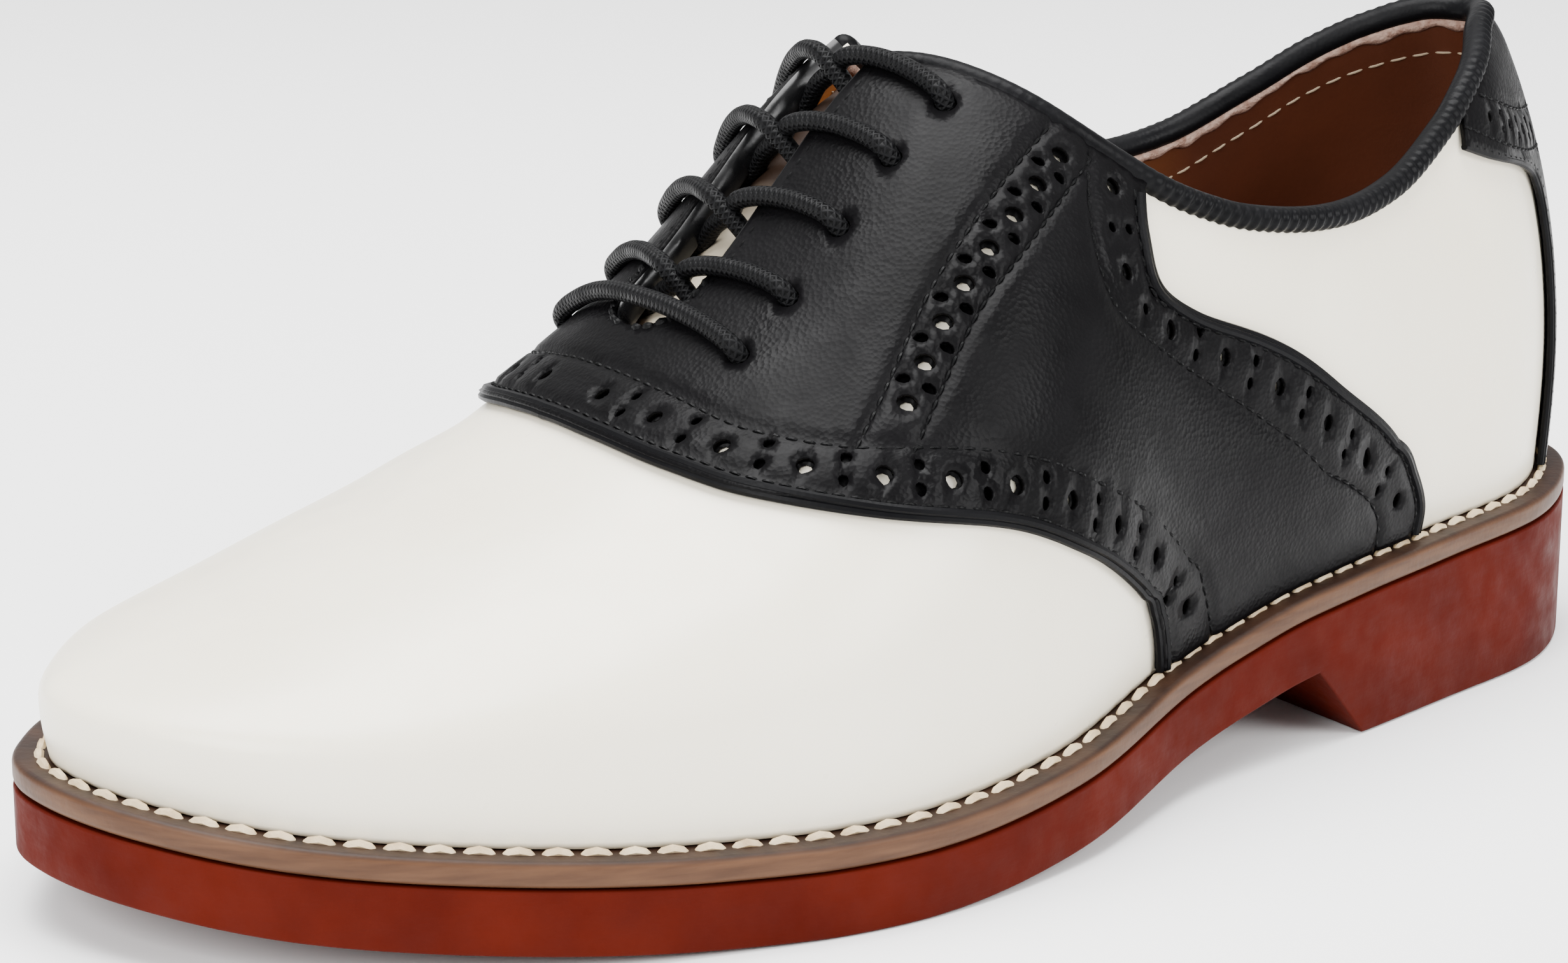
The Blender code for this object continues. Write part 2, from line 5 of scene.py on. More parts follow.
import bmesh
import bpy
import numpy as np
from mathutils.geometry import delaunay_2d_cdt
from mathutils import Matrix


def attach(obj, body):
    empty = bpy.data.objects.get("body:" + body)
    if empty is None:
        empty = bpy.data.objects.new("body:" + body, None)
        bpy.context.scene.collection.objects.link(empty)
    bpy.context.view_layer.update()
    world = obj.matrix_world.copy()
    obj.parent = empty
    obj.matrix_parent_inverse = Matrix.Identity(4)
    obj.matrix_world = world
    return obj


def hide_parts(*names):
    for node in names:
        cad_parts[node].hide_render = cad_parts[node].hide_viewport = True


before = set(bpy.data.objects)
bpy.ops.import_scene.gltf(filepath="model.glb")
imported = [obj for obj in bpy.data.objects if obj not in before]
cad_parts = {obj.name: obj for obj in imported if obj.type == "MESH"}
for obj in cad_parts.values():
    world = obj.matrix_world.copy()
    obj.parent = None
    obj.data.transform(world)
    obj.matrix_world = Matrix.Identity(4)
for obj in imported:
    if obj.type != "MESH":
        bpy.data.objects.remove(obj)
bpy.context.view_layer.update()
MM = 0.001


# Camera, floor and light
# The camera stands ahead of the toe on the outer side and looks down by fifteen
# degrees. A white floor and large soft lights stand for the studio.
camera_data = bpy.data.cameras.new("camera")
camera_data.sensor_width = 36
camera_data.lens = 87.66
camera_data.shift_x = 0.0145
camera = bpy.data.objects.new("camera", camera_data)
camera.location = (-0.3498, -0.4927, 0.2092)
camera.rotation_euler = (math.radians(75.0), 0, math.radians(-33.11))
bpy.context.collection.objects.link(camera)
bpy.context.scene.camera = camera

def feed(socket, value):
    """Set an input to a number or a colour, or join it to another node's output."""
    if isinstance(value, bpy.types.NodeSocket):
        socket.id_data.links.new(value, socket)
    else:
        socket.default_value = value


def fill(node, **values):
    """Feed a node's inputs by name, with an underscore for each space."""
    for name, value in values.items():
        feed(node.inputs[name.replace("_", " ")], value)


def add(near, kind, **values):
    """New node beside another node or socket, with its inputs fed."""
    node = near.id_data.nodes.new("ShaderNode" + kind)
    fill(node, **values)
    return node


FLOOR_HALF = 6.0
FLOOR_DROP = 0.2 * MM
corners = [(x * FLOOR_HALF, y * FLOOR_HALF, -FLOOR_DROP) for x, y in ((-1, -1), (1, -1), (1, 1), (-1, 1))]
floor_mesh = bpy.data.meshes.new("floor")
floor_mesh.from_pydata(corners, [], [(0, 1, 2, 3)])
floor = bpy.data.objects.new("floor", floor_mesh)
bpy.context.collection.objects.link(floor)
floor_white = bpy.data.materials.new("floor white")
floor_white.use_nodes = True
fill(floor_white.node_tree.nodes["Principled BSDF"], Base_Color=(0.93, 0.93, 0.93, 1), Roughness=0.8)
floor_mesh.materials.append(floor_white)

world = bpy.data.worlds.new("studio")
world.use_nodes = True
fill(world.node_tree.nodes["Background"], Color=(1, 1, 1, 1), Strength=0.8)
bpy.context.scene.world = world


def soft_light(name, place, size, power):
    """Square area light that faces the middle of the shoe."""
    lamp = bpy.data.lights.new(name, "AREA")
    lamp.size = size
    lamp.energy = power
    lit = bpy.data.objects.new(name, lamp)
    lit.location = place
    x, y, z = place[0], place[1], place[2] - 0.05
    lit.rotation_euler = (math.atan2(math.hypot(x, y), z), 0, math.atan2(y, x) + math.pi / 2)
    bpy.context.collection.objects.link(lit)


soft_light("overhead", (-0.1, 0.15, 1.6), 1.4, 92)
soft_light("toe side", (-1.4, -0.6, 0.9), 0.9, 36)
soft_light("heel side", (0.6, -1.4, 0.9), 0.9, 30)


# Outsole
# Red rubber, moulded in one with its heel block, with a raked breast and a low toe
# spring. Its edge is buffed matt and bears fine scuffs.
SOLE_LENGTH = 305 * MM
BALL_WIDTH = 121 * MM
HEEL_HEIGHT = 17.0 * MM
TOE_SPRING = 10.3 * MM
RUBBER = 10.0 * MM
OUTSOLE_ROUND = 0.5 * MM
BREAST_FOOT = 0.263
BREAST_RAKE = 0.040
# Share of the length, lateral and medial half width as shares of the ball width
OUTLINE = [
    (0.0, 0.0, 0.0), (0.03, 0.15, 0.18), (0.09, 0.256, 0.275), (0.18, 0.318, 0.318), (0.29, 0.384, 0.3),
    (0.4, 0.436, 0.285), (0.52, 0.566, 0.32), (0.64, 0.614, 0.388), (0.75, 0.566, 0.415),
    (0.85, 0.483, 0.356), (0.93, 0.376, 0.25), (0.98, 0.225, 0.095), (1.0, 0.045, -0.045),
]
# Share of the length, share of the heel height
SHANK = [
    (0.0, 1.0), (0.1, 0.945), (0.2, 0.885), (0.27, 0.83), (0.32, 0.745), (0.36, 0.6), (0.4, 0.46),
    (0.45, 0.312), (0.5, 0.185), (0.55, 0.084), (0.6, 0.016), (0.625, 0.0), (1.0, 0.0),
]
# Share of the length, share of the toe spring
SPRING = [
    (0.0, 0.0), (0.685, 0.0), (0.75, 0.074), (0.8, 0.19), (0.85, 0.344), (0.9, 0.532), (0.95, 0.752),
    (1.0, 1.0),
]


def read(table, x, k=1):
    """Column k of a table at x: a cubic through its rows, with the mean slope of the chords beside each."""
    rows = np.array(table, float)
    xs, ys = rows[:, 0], rows[:, k]
    x = np.asarray(x, float)
    width = np.diff(xs)
    chord = np.diff(ys) / width
    inner = (chord[1:] * width[:-1] + chord[:-1] * width[1:]) / (xs[2:] - xs[:-2])
    slope = np.concatenate([chord[:1], inner, chord[-1:]])
    i = np.clip(np.searchsorted(xs, x, side="right") - 1, 0, len(xs) - 2)
    h = width[i]
    t = np.clip((x - xs[i]) / h, 0, 1)
    rise = t * t * (3 - 2 * t)
    return (1 - rise) * ys[i] + rise * ys[i + 1] + h * t * (1 - t) * ((1 - t) * slope[i] - t * slope[i + 1])


def unit(v):
    return v / np.linalg.norm(v, axis=-1, keepdims=True)


def run_along(path):
    """Distance run along a path at each of its points."""
    return np.concatenate([[0], np.cumsum(np.linalg.norm(np.diff(path, axis=0), axis=1))])


def pairs(first, second):
    return np.stack([first, second], -1)


def ring_angles(count):
    return np.arange(count) * 2 * math.pi / count


def at_run(at, run, rows):
    """Rows of a table at given distances run, between its own rows."""
    return np.stack([np.interp(at, run, column) for column in rows.T], -1)


def share_of(turn):
    """Share of the length at a turn round the sole: half of one minus its cosine."""
    return (1 - np.cos(math.pi * np.abs(turn))) / 2


def turn_of(share):
    return np.arccos(1 - 2 * np.clip(share, 0, 1)) / math.pi


OUTLINE_BY_TURN = [(float(turn_of(row[0])), row[1], row[2]) for row in OUTLINE]


def edge(turn):
    """Sole edge as distance from the heel's back and from the middle, lateral turns positive."""
    turn = (np.asarray(turn, float) + 1) % 2 - 1
    lateral = read(OUTLINE_BY_TURN, np.abs(turn))
    medial = -read(OUTLINE_BY_TURN, np.abs(turn), 2)
    return pairs(share_of(turn) * SOLE_LENGTH, np.where(turn >= 0, lateral, medial) * BALL_WIDTH)


def inset(turn, distance):
    """Sole edge moved in across its own direction."""
    turn = np.asarray(turn, float)
    along = unit(edge(turn + 0.004) - edge(turn - 0.004))
    return edge(turn) + pairs(along[..., 1], -along[..., 0]) * np.asarray(distance)[..., None]


def underside(s):
    """Sole's underside: the shank's rise behind the ball plus the toe spring ahead of it."""
    share = s / SOLE_LENGTH
    shank, spring = [np.clip(read(table, share), 0, None) for table in (SHANK, SPRING)]
    return shank * HEEL_HEIGHT + spring * TOE_SPRING


SOLE_SIDES = edge(np.linspace(-1, 1, 721))[:, 1]
MIDDLE_Y = (SOLE_SIDES.max() + SOLE_SIDES.min()) / 2


def place(points):
    """Distance from the heel, distance to the lateral side and height, to X, Y, Z."""
    return np.stack([SOLE_LENGTH / 2 - points[..., 0], MIDDLE_Y - points[..., 1], points[..., 2]], -1)


def piece(name, points, faces, finish, slot, node=None, smooth=40):
    """Mesh object on the shoe's body, with doubled points joined and faces smooth up to an angle."""
    mesh = bpy.data.meshes.new(name)
    mesh.from_pydata(np.asarray(points).reshape(-1, 3).tolist(), [], faces)
    body = bmesh.new()
    body.from_mesh(mesh)
    bmesh.ops.remove_doubles(body, verts=body.verts, dist=2e-6)
    bmesh.ops.dissolve_degenerate(body, dist=1e-7, edges=body.edges)
    body.to_mesh(mesh)
    body.free()
    mesh.materials.append(finish)
    mesh.shade_smooth()
    mesh.set_sharp_from_angle(angle=math.radians(smooth))
    made = bpy.data.objects.new(name, mesh)
    bpy.context.collection.objects.link(made)
    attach(made, "root")
    if node:
        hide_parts(node)
    return made


def loft(rows, columns, closed_rows=False, closed_columns=False, flip=False, start=0):
    """Quads between neighbouring rows of a grid of points."""
    i, j = np.meshgrid(np.arange(rows if closed_rows else rows - 1),
                       np.arange(columns if closed_columns else columns - 1), indexing="ij")
    a = start + i * columns + j
    b = start + (i + 1) % rows * columns + j
    c = start + (i + 1) % rows * columns + (j + 1) % columns
    d = start + i * columns + (j + 1) % columns
    quads = np.stack([a, d, c, b] if flip else [a, b, c, d], -1).reshape(-1, 4)
    return quads.tolist()


def tube(rows, columns, start=0):
    """Faces of a tube of rings with a cap at each end."""
    faces = loft(rows, columns, closed_columns=True, start=start)
    faces.append([start + columns - 1 - j for j in range(columns)])
    faces.append([start + (rows - 1) * columns + j for j in range(columns)])
    return faces


def turned(faces):
    """The same faces seen from their other side."""
    return [face[::-1] for face in faces]


def slab(name, distance, low, high, rounding, finish, slot, node):
    """Body between two heights, its rim the sole's edge moved in, with rounded rim edges.

    Each cross section runs over the bottom, up the lateral rim, over the top and down
    the medial rim, and the sections are joined from the heel's back to the toe.
    """
    bend = np.linspace(0, 1, 5) * math.pi / 2
    breast = turn_of(np.array([BREAST_FOOT, BREAST_FOOT + BREAST_RAKE]))
    turns = np.sort(np.concatenate([np.linspace(0, 1, 281), breast]))
    rim_in = np.concatenate([rounding * (1 - np.sin(bend)), rounding * (1 - np.cos(bend))])
    rim_up = np.concatenate([rounding * (1 - np.cos(bend)), rounding * (1 - np.sin(bend))])
    top = np.arange(len(rim_in)) >= len(bend)
    sides = []
    for side in (1, -1):
        path = inset(side * turns[:, None], distance + rim_in[None])
        level = np.where(top, high(path[..., 0]) - rim_up, low(path[..., 0]) + rim_up)
        sides.append(np.concatenate([path, level[..., None]], -1))
    lateral, medial = sides
    across = np.linspace(0, 1, 9)[1:-1][:, None]
    bottom = medial[:, :1] * (1 - across) + lateral[:, :1] * across
    bottom[..., 2] = low(bottom[..., 0])
    above = lateral[:, -1:] * (1 - across) + medial[:, -1:] * across
    above[..., 2] = high(above[..., 0])
    ring = np.concatenate([bottom, lateral, above, medial[:, ::-1]], 1)
    faces = loft(*ring.shape[:2], closed_columns=True, flip=True)
    return piece(name, place(ring), faces, finish, slot, node)


def finish_nodes(name, colour, roughness):
    """Material with its shader and object coordinates."""
    made = bpy.data.materials.new(name)
    made.use_nodes = True
    shader = made.node_tree.nodes["Principled BSDF"]
    fill(shader, Base_Color=(*colour, 1), Roughness=roughness)
    return made, shader, add(shader, "TexCoord").outputs["Object"]


def noise(where, scale, detail=3.0, stretch=None):
    """Noise texture on object coordinates, stretched along an axis where asked."""
    if stretch:
        where = add(where, "Mapping", Vector=where, Scale=stretch).outputs["Vector"]
    return add(where, "TexNoise", Vector=where, Scale=scale, Detail=detail).outputs["Fac"]


def spread(value, low, high, start=0.3, end=0.7):
    """Value between start and end of a texture, carried over to low and high."""
    ranged = add(value, "MapRange", Value=value, From_Min=start, From_Max=end, To_Min=low, To_Max=high)
    return ranged.outputs["Result"]


def two_colours(value, first, second, start=0.3, end=0.7):
    """Colour that runs from the first to the second as the value runs from start to end."""
    ramp = add(value, "ValToRGB", Fac=value)
    for element, position, colour in zip(ramp.color_ramp.elements, (start, end), (first, second)):
        element.position = position
        element.color = (*colour, 1)
    return ramp.outputs["Color"]


def mixed(factor, first, second, near, how="MIX"):
    """Mix of two colours."""
    mix = add(near, "Mix")
    mix.data_type = "RGBA"
    mix.blend_type = how
    fill(mix, Factor=factor, A=first, B=second)
    return mix.outputs["Result"]


def bump(shader, value, depth, strength=1.0):
    """Bump of a given depth in metres, stacked on what the shader already has."""
    node = add(shader, "Bump", Height=value, Distance=depth, Strength=strength)
    if shader.inputs["Normal"].links:
        fill(node, Normal=shader.inputs["Normal"].links[0].from_socket)
    fill(shader, Normal=node.outputs["Normal"])


def dress(nodes, shades=None, gloss=None, bumps=(), **more):
    """Material with noise on it: a noise's scale and detail, then its two colours, its
    two roughnesses, or its depth and strength as a bump."""
    made, shader, where = nodes
    if shades:
        fill(shader, Base_Color=two_colours(noise(where, *shades[0]), *shades[1:]))
    if gloss:
        fill(shader, Roughness=spread(noise(where, *gloss[0]), *gloss[1:]))
    for texture, *sizes in bumps:
        bump(shader, noise(where, *texture), *sizes)
    fill(shader, **more)
    return made


red_rubber = dress(finish_nodes("red rubber", (0.052, 0.0038, 0.001), 0.75),
                   shades=((60, 5), (0.045, 0.0030, 0.0008), (0.062, 0.0050, 0.0014)),
                   gloss=((220, 4), 0.5, 0.72),
                   bumps=[((900, 3), 0.00006), ((90, 6, (1, 1, 6)), 0.00012)],
                   Specular_IOR_Level=0.05)

BREAST_FOOT_S = BREAST_FOOT * SOLE_LENGTH
BREAST_HEAD_S = (BREAST_FOOT + BREAST_RAKE) * SOLE_LENGTH


def floor_side(s):
    """Outsole's lower face: the floor under the heel, then up the breast to the shank."""
    climb = np.clip((s - BREAST_FOOT_S) / (BREAST_HEAD_S - BREAST_FOOT_S), 0, 1)
    return np.where(s < BREAST_HEAD_S, climb * underside(BREAST_HEAD_S), underside(s))


slab("outsole_rubber", 0, floor_side, lambda s: underside(s) + RUBBER, OUTSOLE_ROUND,
     red_rubber, "sole_rubber", "outsole")


# Midsole and welt
# A brown stacked edge, burnished darker on its top face, which is the welt that the
# upper is sewn to. Its upper corner is rounded over.
MIDSOLE = 4.4 * MM
WELT_ROUND = 1.1 * MM
CLEAR = 0.3 * MM


def seat(s):
    """Top of the welt, on which the upper stands."""
    return underside(s) + RUBBER + MIDSOLE


brown_nodes = finish_nodes("brown sole edge", (0.06, 0.027, 0.012), 0.5)
made, shader, where = brown_nodes
side_brown = two_colours(noise(where, 90, 5, (1, 1, 9)), (0.046, 0.019, 0.008), (0.080, 0.036, 0.016))
top_brown = two_colours(noise(where, 160, 5), (0.012, 0.005, 0.003), (0.028, 0.012, 0.006))
upward = add(shader, "SeparateXYZ", Vector=add(shader, "NewGeometry").outputs["Normal"])
facing_up = spread(upward.outputs["Z"], 0, 1, 0.35, 0.9)
fill(shader, Base_Color=mixed(facing_up, side_brown, top_brown, shader))
brown_edge = dress(brown_nodes, bumps=[((700, 4), 0.00008)], Specular_IOR_Level=0.2)
slab("midsole_and_welt", 0, lambda s: underside(s) + RUBBER + CLEAR, seat, WELT_ROUND,
     brown_edge, "midsole_brown", "midsole")


# Welt stitching
# Thick cream lock stitches hold the upper to the welt all the way round, close beside
# the upper. Each stitch dips into its hole at both ends.
WELT_STEP = 5.5 * MM
SEAM_OUT = 1.5 * MM
SEAM_UP = 0.35 * MM
STITCH_SIDES = 6


def stitch_mesh(path, up, pitch, length, radius, dip):
    """Capsules end to end along one path.

    Along each stitch the radius follows a half ellipse near both ends, and the thread
    sinks by the dip as the square of the distance from its middle.
    """
    run = run_along(path)
    count = max(1, int(round(run[-1] / pitch)))
    middles = run[-1] * (np.arange(count) + 0.5) / count
    share = np.array([-1, -0.93, -0.7, 0, 0.7, 0.93, 1])
    swell = np.array([0.05, 0.6, 0.95, 1.05, 0.95, 0.6, 0.05])
    at = middles[:, None] + share[None] * length / 2
    spot, rise = at_run(at, run, path), at_run(at, run, up)
    along = unit(spot[:, -1:] - spot[:, :1]) * np.ones((1, len(share), 1))
    side = unit(np.cross(along, rise))
    over = np.cross(side, along)
    spot = spot + over * (-dip * share ** 2)[None, :, None]
    angle = ring_angles(STITCH_SIDES)
    ring = np.cos(angle)[:, None] * side[:, :, None] + np.sin(angle)[:, None] * over[:, :, None]
    return (spot[:, :, None] + ring * (radius * swell)[None, :, None, None]).reshape(-1, 3)


def stitches(name, routes, sizes, finish, slot="black_leather"):
    """One piece of stitch rows along routes of points and surface normals: sizes are pitch,
    length, radius and dip."""
    points = np.concatenate([stitch_mesh(path, up, *sizes) for path, up in routes])
    faces = []
    for start in range(0, len(points), 7 * STITCH_SIDES):
        faces += tube(7, STITCH_SIDES, start)
    return piece(name, place(points), faces, finish, slot)


cream_thread = dress(finish_nodes("cream waxed thread", (0.72, 0.60, 0.42), 0.55),
                     shades=((260, 4), (0.46, 0.33, 0.18), (0.70, 0.56, 0.36)), bumps=[((2400, 3), 0.0001)])

around = np.linspace(-1, 1, 2401)
rim = inset(around, WELT_STEP - SEAM_OUT)
rim = np.concatenate([rim, seat(rim[:, 0])[:, None] + SEAM_UP], -1)
rim_up = np.tile([0, 0, 1.0], (len(rim), 1))
WELT_STITCH = (5.7 * MM, 4.9 * MM, 0.72 * MM, 0.7 * MM)
stitches("welt_stitching", [(rim, rim_up)], WELT_STITCH, cream_thread, "white_leather")


# White upper
# Smooth cream-white calf with a low sheen, pulled over the last, open at the collar
# and along the gap between the facings, and closed in a soft curve at the gap's foot.
LAST_HEIGHT = 100 * MM
BELLY = 10 * MM
HEEL_PIVOT = 0.13
TOE_PIVOT = 0.885
PIVOT_EASE = 0.06
LOW = 0.22
# Share, lateral and medial belly, belly height, ridge, power of the side and of the top
SECTIONS = [
    (0.0, 0.12, 0.12, 1.8, 0.99, 1.35, 1.0), (0.05, 0.06, 0.06, 1.8, 1.012, 1.6, 1.0),
    (0.13, 0.1, 0.1, 1.9, 1.05, 1.38, 1.0), (0.3, 0.2, 0.15, 1.9, 1.14, 0.98, 1.0),
    (0.42, 0.15, 0.3, 1.7, 1.09, 0.98, 1.02), (0.52, 0.1, 0.2, 1.6, 0.965, 1.0, 0.98),
    (0.62, 0.08, 0.1, 1.5, 0.69, 0.98, 0.96), (0.72, 0.08, 0.08, 1.4, 0.477, 0.97, 0.93),
    (0.82, 0.1, 0.1, 1.3, 0.335, 0.97, 0.94), (0.9, 0.11, 0.11, 1.1, 0.235, 1.0, 0.95),
    (1.0, 0.12, 0.12, 0.9, 0.17, 1.0, 0.95),
]
# Share of the length, ridge's shift to the lateral side as a share of the ball width
RIDGE = [
    (0.0, -0.01), (0.3, -0.005), (0.52, -0.01), (0.62, 0.012), (0.72, 0.035), (0.85, 0.05), (1.0, 0.05),
]
WALL = 2.2 * MM
# Turn, share of the way up the last at the top edge
TOPLINE = [
    (0.0, 0.664), (0.1, 0.656), (0.16, 0.634), (0.2, 0.608), (0.23, 0.575), (0.264, 0.524),
    (0.311, 0.465), (0.353, 0.45), (0.387, 0.47), (0.409, 0.503), (0.441, 0.585), (0.469, 0.705),
    (0.485, 0.805), (0.497, 0.9), (0.51, 1.0), (1.0, 1.0),
]
SLOT_HALF = 7.6 * MM
SLOT_TOP = 0.497
SLOT_FOOT = 0.598
SLOT_ROUND = 0.014


def soft_clamp(x, low, high, ease):
    """x held between low and high, with a parabola over the ease on each side of a limit."""
    def past(d):
        return np.where(d < -ease, 0, np.where(d > ease, d, (d + ease) ** 2 / (4 * ease)))
    return x - past(x - high) + past(low - x)


def last(turn, t):
    """Point of the last at a turn round the feather line and a share of the way up.

    Each section stands on its feather point and leans to its spine point. The lower wall
    swells out by the belly times a sine. Above it the distance from the spine falls as a
    cosine and the height rises as a sine of one quarter turn, each to its own power.
    """
    turn, t = np.broadcast_arrays(np.asarray(turn, float), np.asarray(t, float))
    foot = inset(turn, WELT_STEP)
    share = share_of(turn)
    c = soft_clamp(share, HEEL_PIVOT, TOE_PIVOT, PIVOT_EASE)
    spine_s = c * SOLE_LENGTH
    spine_y = read(RIDGE, c) * BALL_WIDTH
    out_s, out_y = foot[..., 0] - spine_s, foot[..., 1] - spine_y
    reach = np.hypot(out_s, out_y)
    out_s, out_y = out_s / reach, out_y / reach
    side = 0.5 + 0.5 * np.clip(out_y * 1.5, -1, 1)
    belly = (read(SECTIONS, share, 1) * side + read(SECTIONS, share, 2) * (1 - side)) * BELLY
    belly_z = read(SECTIONS, share, 3) * BELLY

    def crest(x):
        return seat(x * SOLE_LENGTH) + read(SECTIONS, x, 4) * LAST_HEIGHT
    slope = (crest(c + 0.01) - crest(c - 0.01)) / (0.02 * SOLE_LENGTH)
    base = seat(foot[..., 0]) + CLEAR
    quarter = math.pi / 2
    low = np.clip(t / LOW, 0, 1) * quarter
    high = np.clip((t - LOW) / (1 - LOW), 0, 1) * quarter
    wide = reach + belly
    r_high = wide * np.clip(np.cos(high), 0, 1) ** read(SECTIONS, share, 5)
    lift = np.clip(np.sin(high), 1e-9, 1) ** read(SECTIONS, share, 6)
    z_high = base + belly_z + (crest(c) - base - belly_z) * lift
    z_high = z_high + slope * r_high * out_s * (1 - (r_high / wide) ** 2)
    r = np.where(t >= LOW, r_high, reach + belly * np.sin(low))
    z = np.where(t >= LOW, z_high, base + belly_z * low / quarter)
    return np.stack([spine_s + r * out_s, spine_y + r * out_y, z], -1)


def over(spots, side=1):
    """Points of the last at turn and height pairs of one side."""
    return last(side * spots[..., 0], spots[..., 1])


def outward(turn, t):
    """Unit normal of the last, out of the shoe."""
    step = 0.002
    t = np.clip(t, step, 1 - step)
    round_it = last(turn + step, t) - last(turn - step, t)
    up_it = last(turn, t + step) - last(turn, t - step)
    return unit(-np.cross(round_it, up_it))


def slot_t(turn):
    """Share of the way up at the facing's edge, where half the gap is left to the ridge."""
    u = np.abs(np.asarray(turn, float))
    c = share_of(u)
    foot = inset(turn, WELT_STEP)
    wide = np.hypot(foot[..., 0] - c * SOLE_LENGTH, foot[..., 1] - read(RIDGE, c) * BALL_WIDTH)
    end = np.clip((SLOT_FOOT - u) / SLOT_ROUND, 0, 1)
    half = SLOT_HALF * np.sqrt(1 - (1 - end) ** 2)
    swing = np.arccos(np.clip(half / wide, 0, 1) ** (1 / read(SECTIONS, c, 5)))
    beside = (u > SLOT_TOP - 0.08) & (u < SLOT_FOOT)
    return np.where(beside, LOW + (1 - LOW) * swing / (math.pi / 2), 1.0)


def gap_corner(side):
    """Turn where one facing's edge meets the collar's edge."""
    u = np.linspace(SLOT_TOP - 0.01, SLOT_TOP + 0.012, 221)
    return u[np.argmax(read(TOPLINE, u) >= slot_t(side * u))]


def top_t(turn):
    """Share of the way up at the upper's top edge: the topline, the facing's edge or the ridge."""
    return np.minimum(read(TOPLINE, np.abs(turn)), slot_t(turn))


def below(turn, t, distance):
    """Share of the way up after a move down the section by a distance."""
    span = np.linalg.norm(last(turn, t) - last(turn, t - 0.02), axis=-1) / 0.02
    return t - distance / span


def on_last(turn, t, lift):
    """Point over the last, lifted off along its normal."""
    return last(turn, t) + outward(turn, t) * np.asarray(lift)[..., None]


def stations(count):
    """Turns from the heel's back to the toe, even along the feather line and close about the gap."""
    u = np.linspace(0, 1, 1601)
    weight = np.linalg.norm(np.diff(inset(u, WELT_STEP), axis=0), axis=1)
    middle = (u[1:] + u[:-1]) / 2
    weight = weight * np.where((middle > 0.46) & (middle < 0.62), 2.0, 1.0)
    run = np.concatenate([[0], np.cumsum(weight)])
    even = np.interp(np.linspace(0, run[-1], count), run, u)
    foot = SLOT_FOOT - SLOT_ROUND * (1 - np.cos(np.linspace(0, 1, 13) * math.pi / 2))
    even = even[np.min(np.abs(even[:, None] - foot[None]), axis=1) > 0.0006]
    return np.sort(np.concatenate([even, foot]))


def thicken(thing, thickness, offset):
    wall = thing.modifiers.new("Wall", "SOLIDIFY")
    wall.thickness = thickness
    wall.offset = offset
    wall.use_rim = True


OUTER_LEATHER = 1.25 * MM


def bell(share, t, middle, reach, height, rise):
    """Bell of one at its middle, over the share of the length and the share of the way up."""
    return np.exp(-((share - middle) / reach) ** 2) * np.exp(-((t - height) / rise) ** 2)


def creases(turn, t):
    """Soft dents and swells of the empty vamp and quarters: bells of a few millimetres' reach."""
    share = share_of(turn)
    lateral = np.clip(turn * 40, -1, 1)
    flex = -0.5 * bell(share, t, 0.70 + 0.05 * (t - 0.6), 0.016, 0.62, 0.16)
    flex += 0.28 * bell(share, t, 0.735 + 0.05 * (t - 0.6), 0.022, 0.64, 0.2)
    quarter = -0.55 * bell(share, t, 0.30 - 0.16 * (t - 0.4), 0.022, 0.36, 0.12)
    quarter += 0.30 * bell(share, t, 0.24, 0.04, 0.30, 0.10)
    return MM * (flex + quarter * (0.8 + 0.2 * lateral))


half = stations(215)
ring_turns = np.concatenate([half, -half[-2:0:-1]])
levels = np.linspace(0, 1, 62)
turn_grid = np.repeat(ring_turns[:, None], len(levels), 1)
t_grid = top_t(ring_turns)[:, None] * levels[None]

white_leather = dress(finish_nodes("cream white calf", (0.80, 0.76, 0.66), 0.33),
                      shades=((26, 4), (0.81, 0.745, 0.60), (0.85, 0.795, 0.655)),
                      gloss=((140, 4), 0.27, 0.40),
                      bumps=[((55, 3), 0.0003, 0.5), ((1900, 2), 0.000025)],
                      Coat_Weight=0.12, Coat_Roughness=0.25)

upper = piece("white_upper", place(on_last(turn_grid, t_grid, creases(turn_grid, t_grid))),
              loft(*turn_grid.shape, closed_rows=True, flip=True), white_leather,
              "white_leather", "upper", smooth=60)
thicken(upper, OUTER_LEATHER, -1)


# Lining and sock
# Tan leather glued inside the upper, golden at the front and redder about the heel,
# with a leather sock over the insole. Its raw pinkish edge shows below the collar roll.
INSOLE = 3.0 * MM
LINING_GAP = 0.03 * MM
SOCK_ROUND = 0.8 * MM


def tan_leather(name, front, heel, middle, soft=1.0):
    """Leather whose colour runs from front to heel along X, with pores and scuffs."""
    nodes = finish_nodes(name, front, 0.5)
    made, shader, where = nodes
    parts = add(shader, "SeparateXYZ", Vector=where)
    along = spread(parts.outputs["X"], 0, 1, middle - 0.02 * soft, middle + 0.03 * soft)
    plain = mixed(along, (*front, 1), (*heel, 1), shader)
    worn = two_colours(noise(where, 70, 6), (0.78, 0.76, 0.74), (1.0, 1.0, 1.0))
    fill(shader, Base_Color=mixed(1.0, plain, worn, shader, "MULTIPLY"))
    return dress(nodes, bumps=[((60, 4), 0.0003, 0.6), ((1500, 3), 0.00004)])


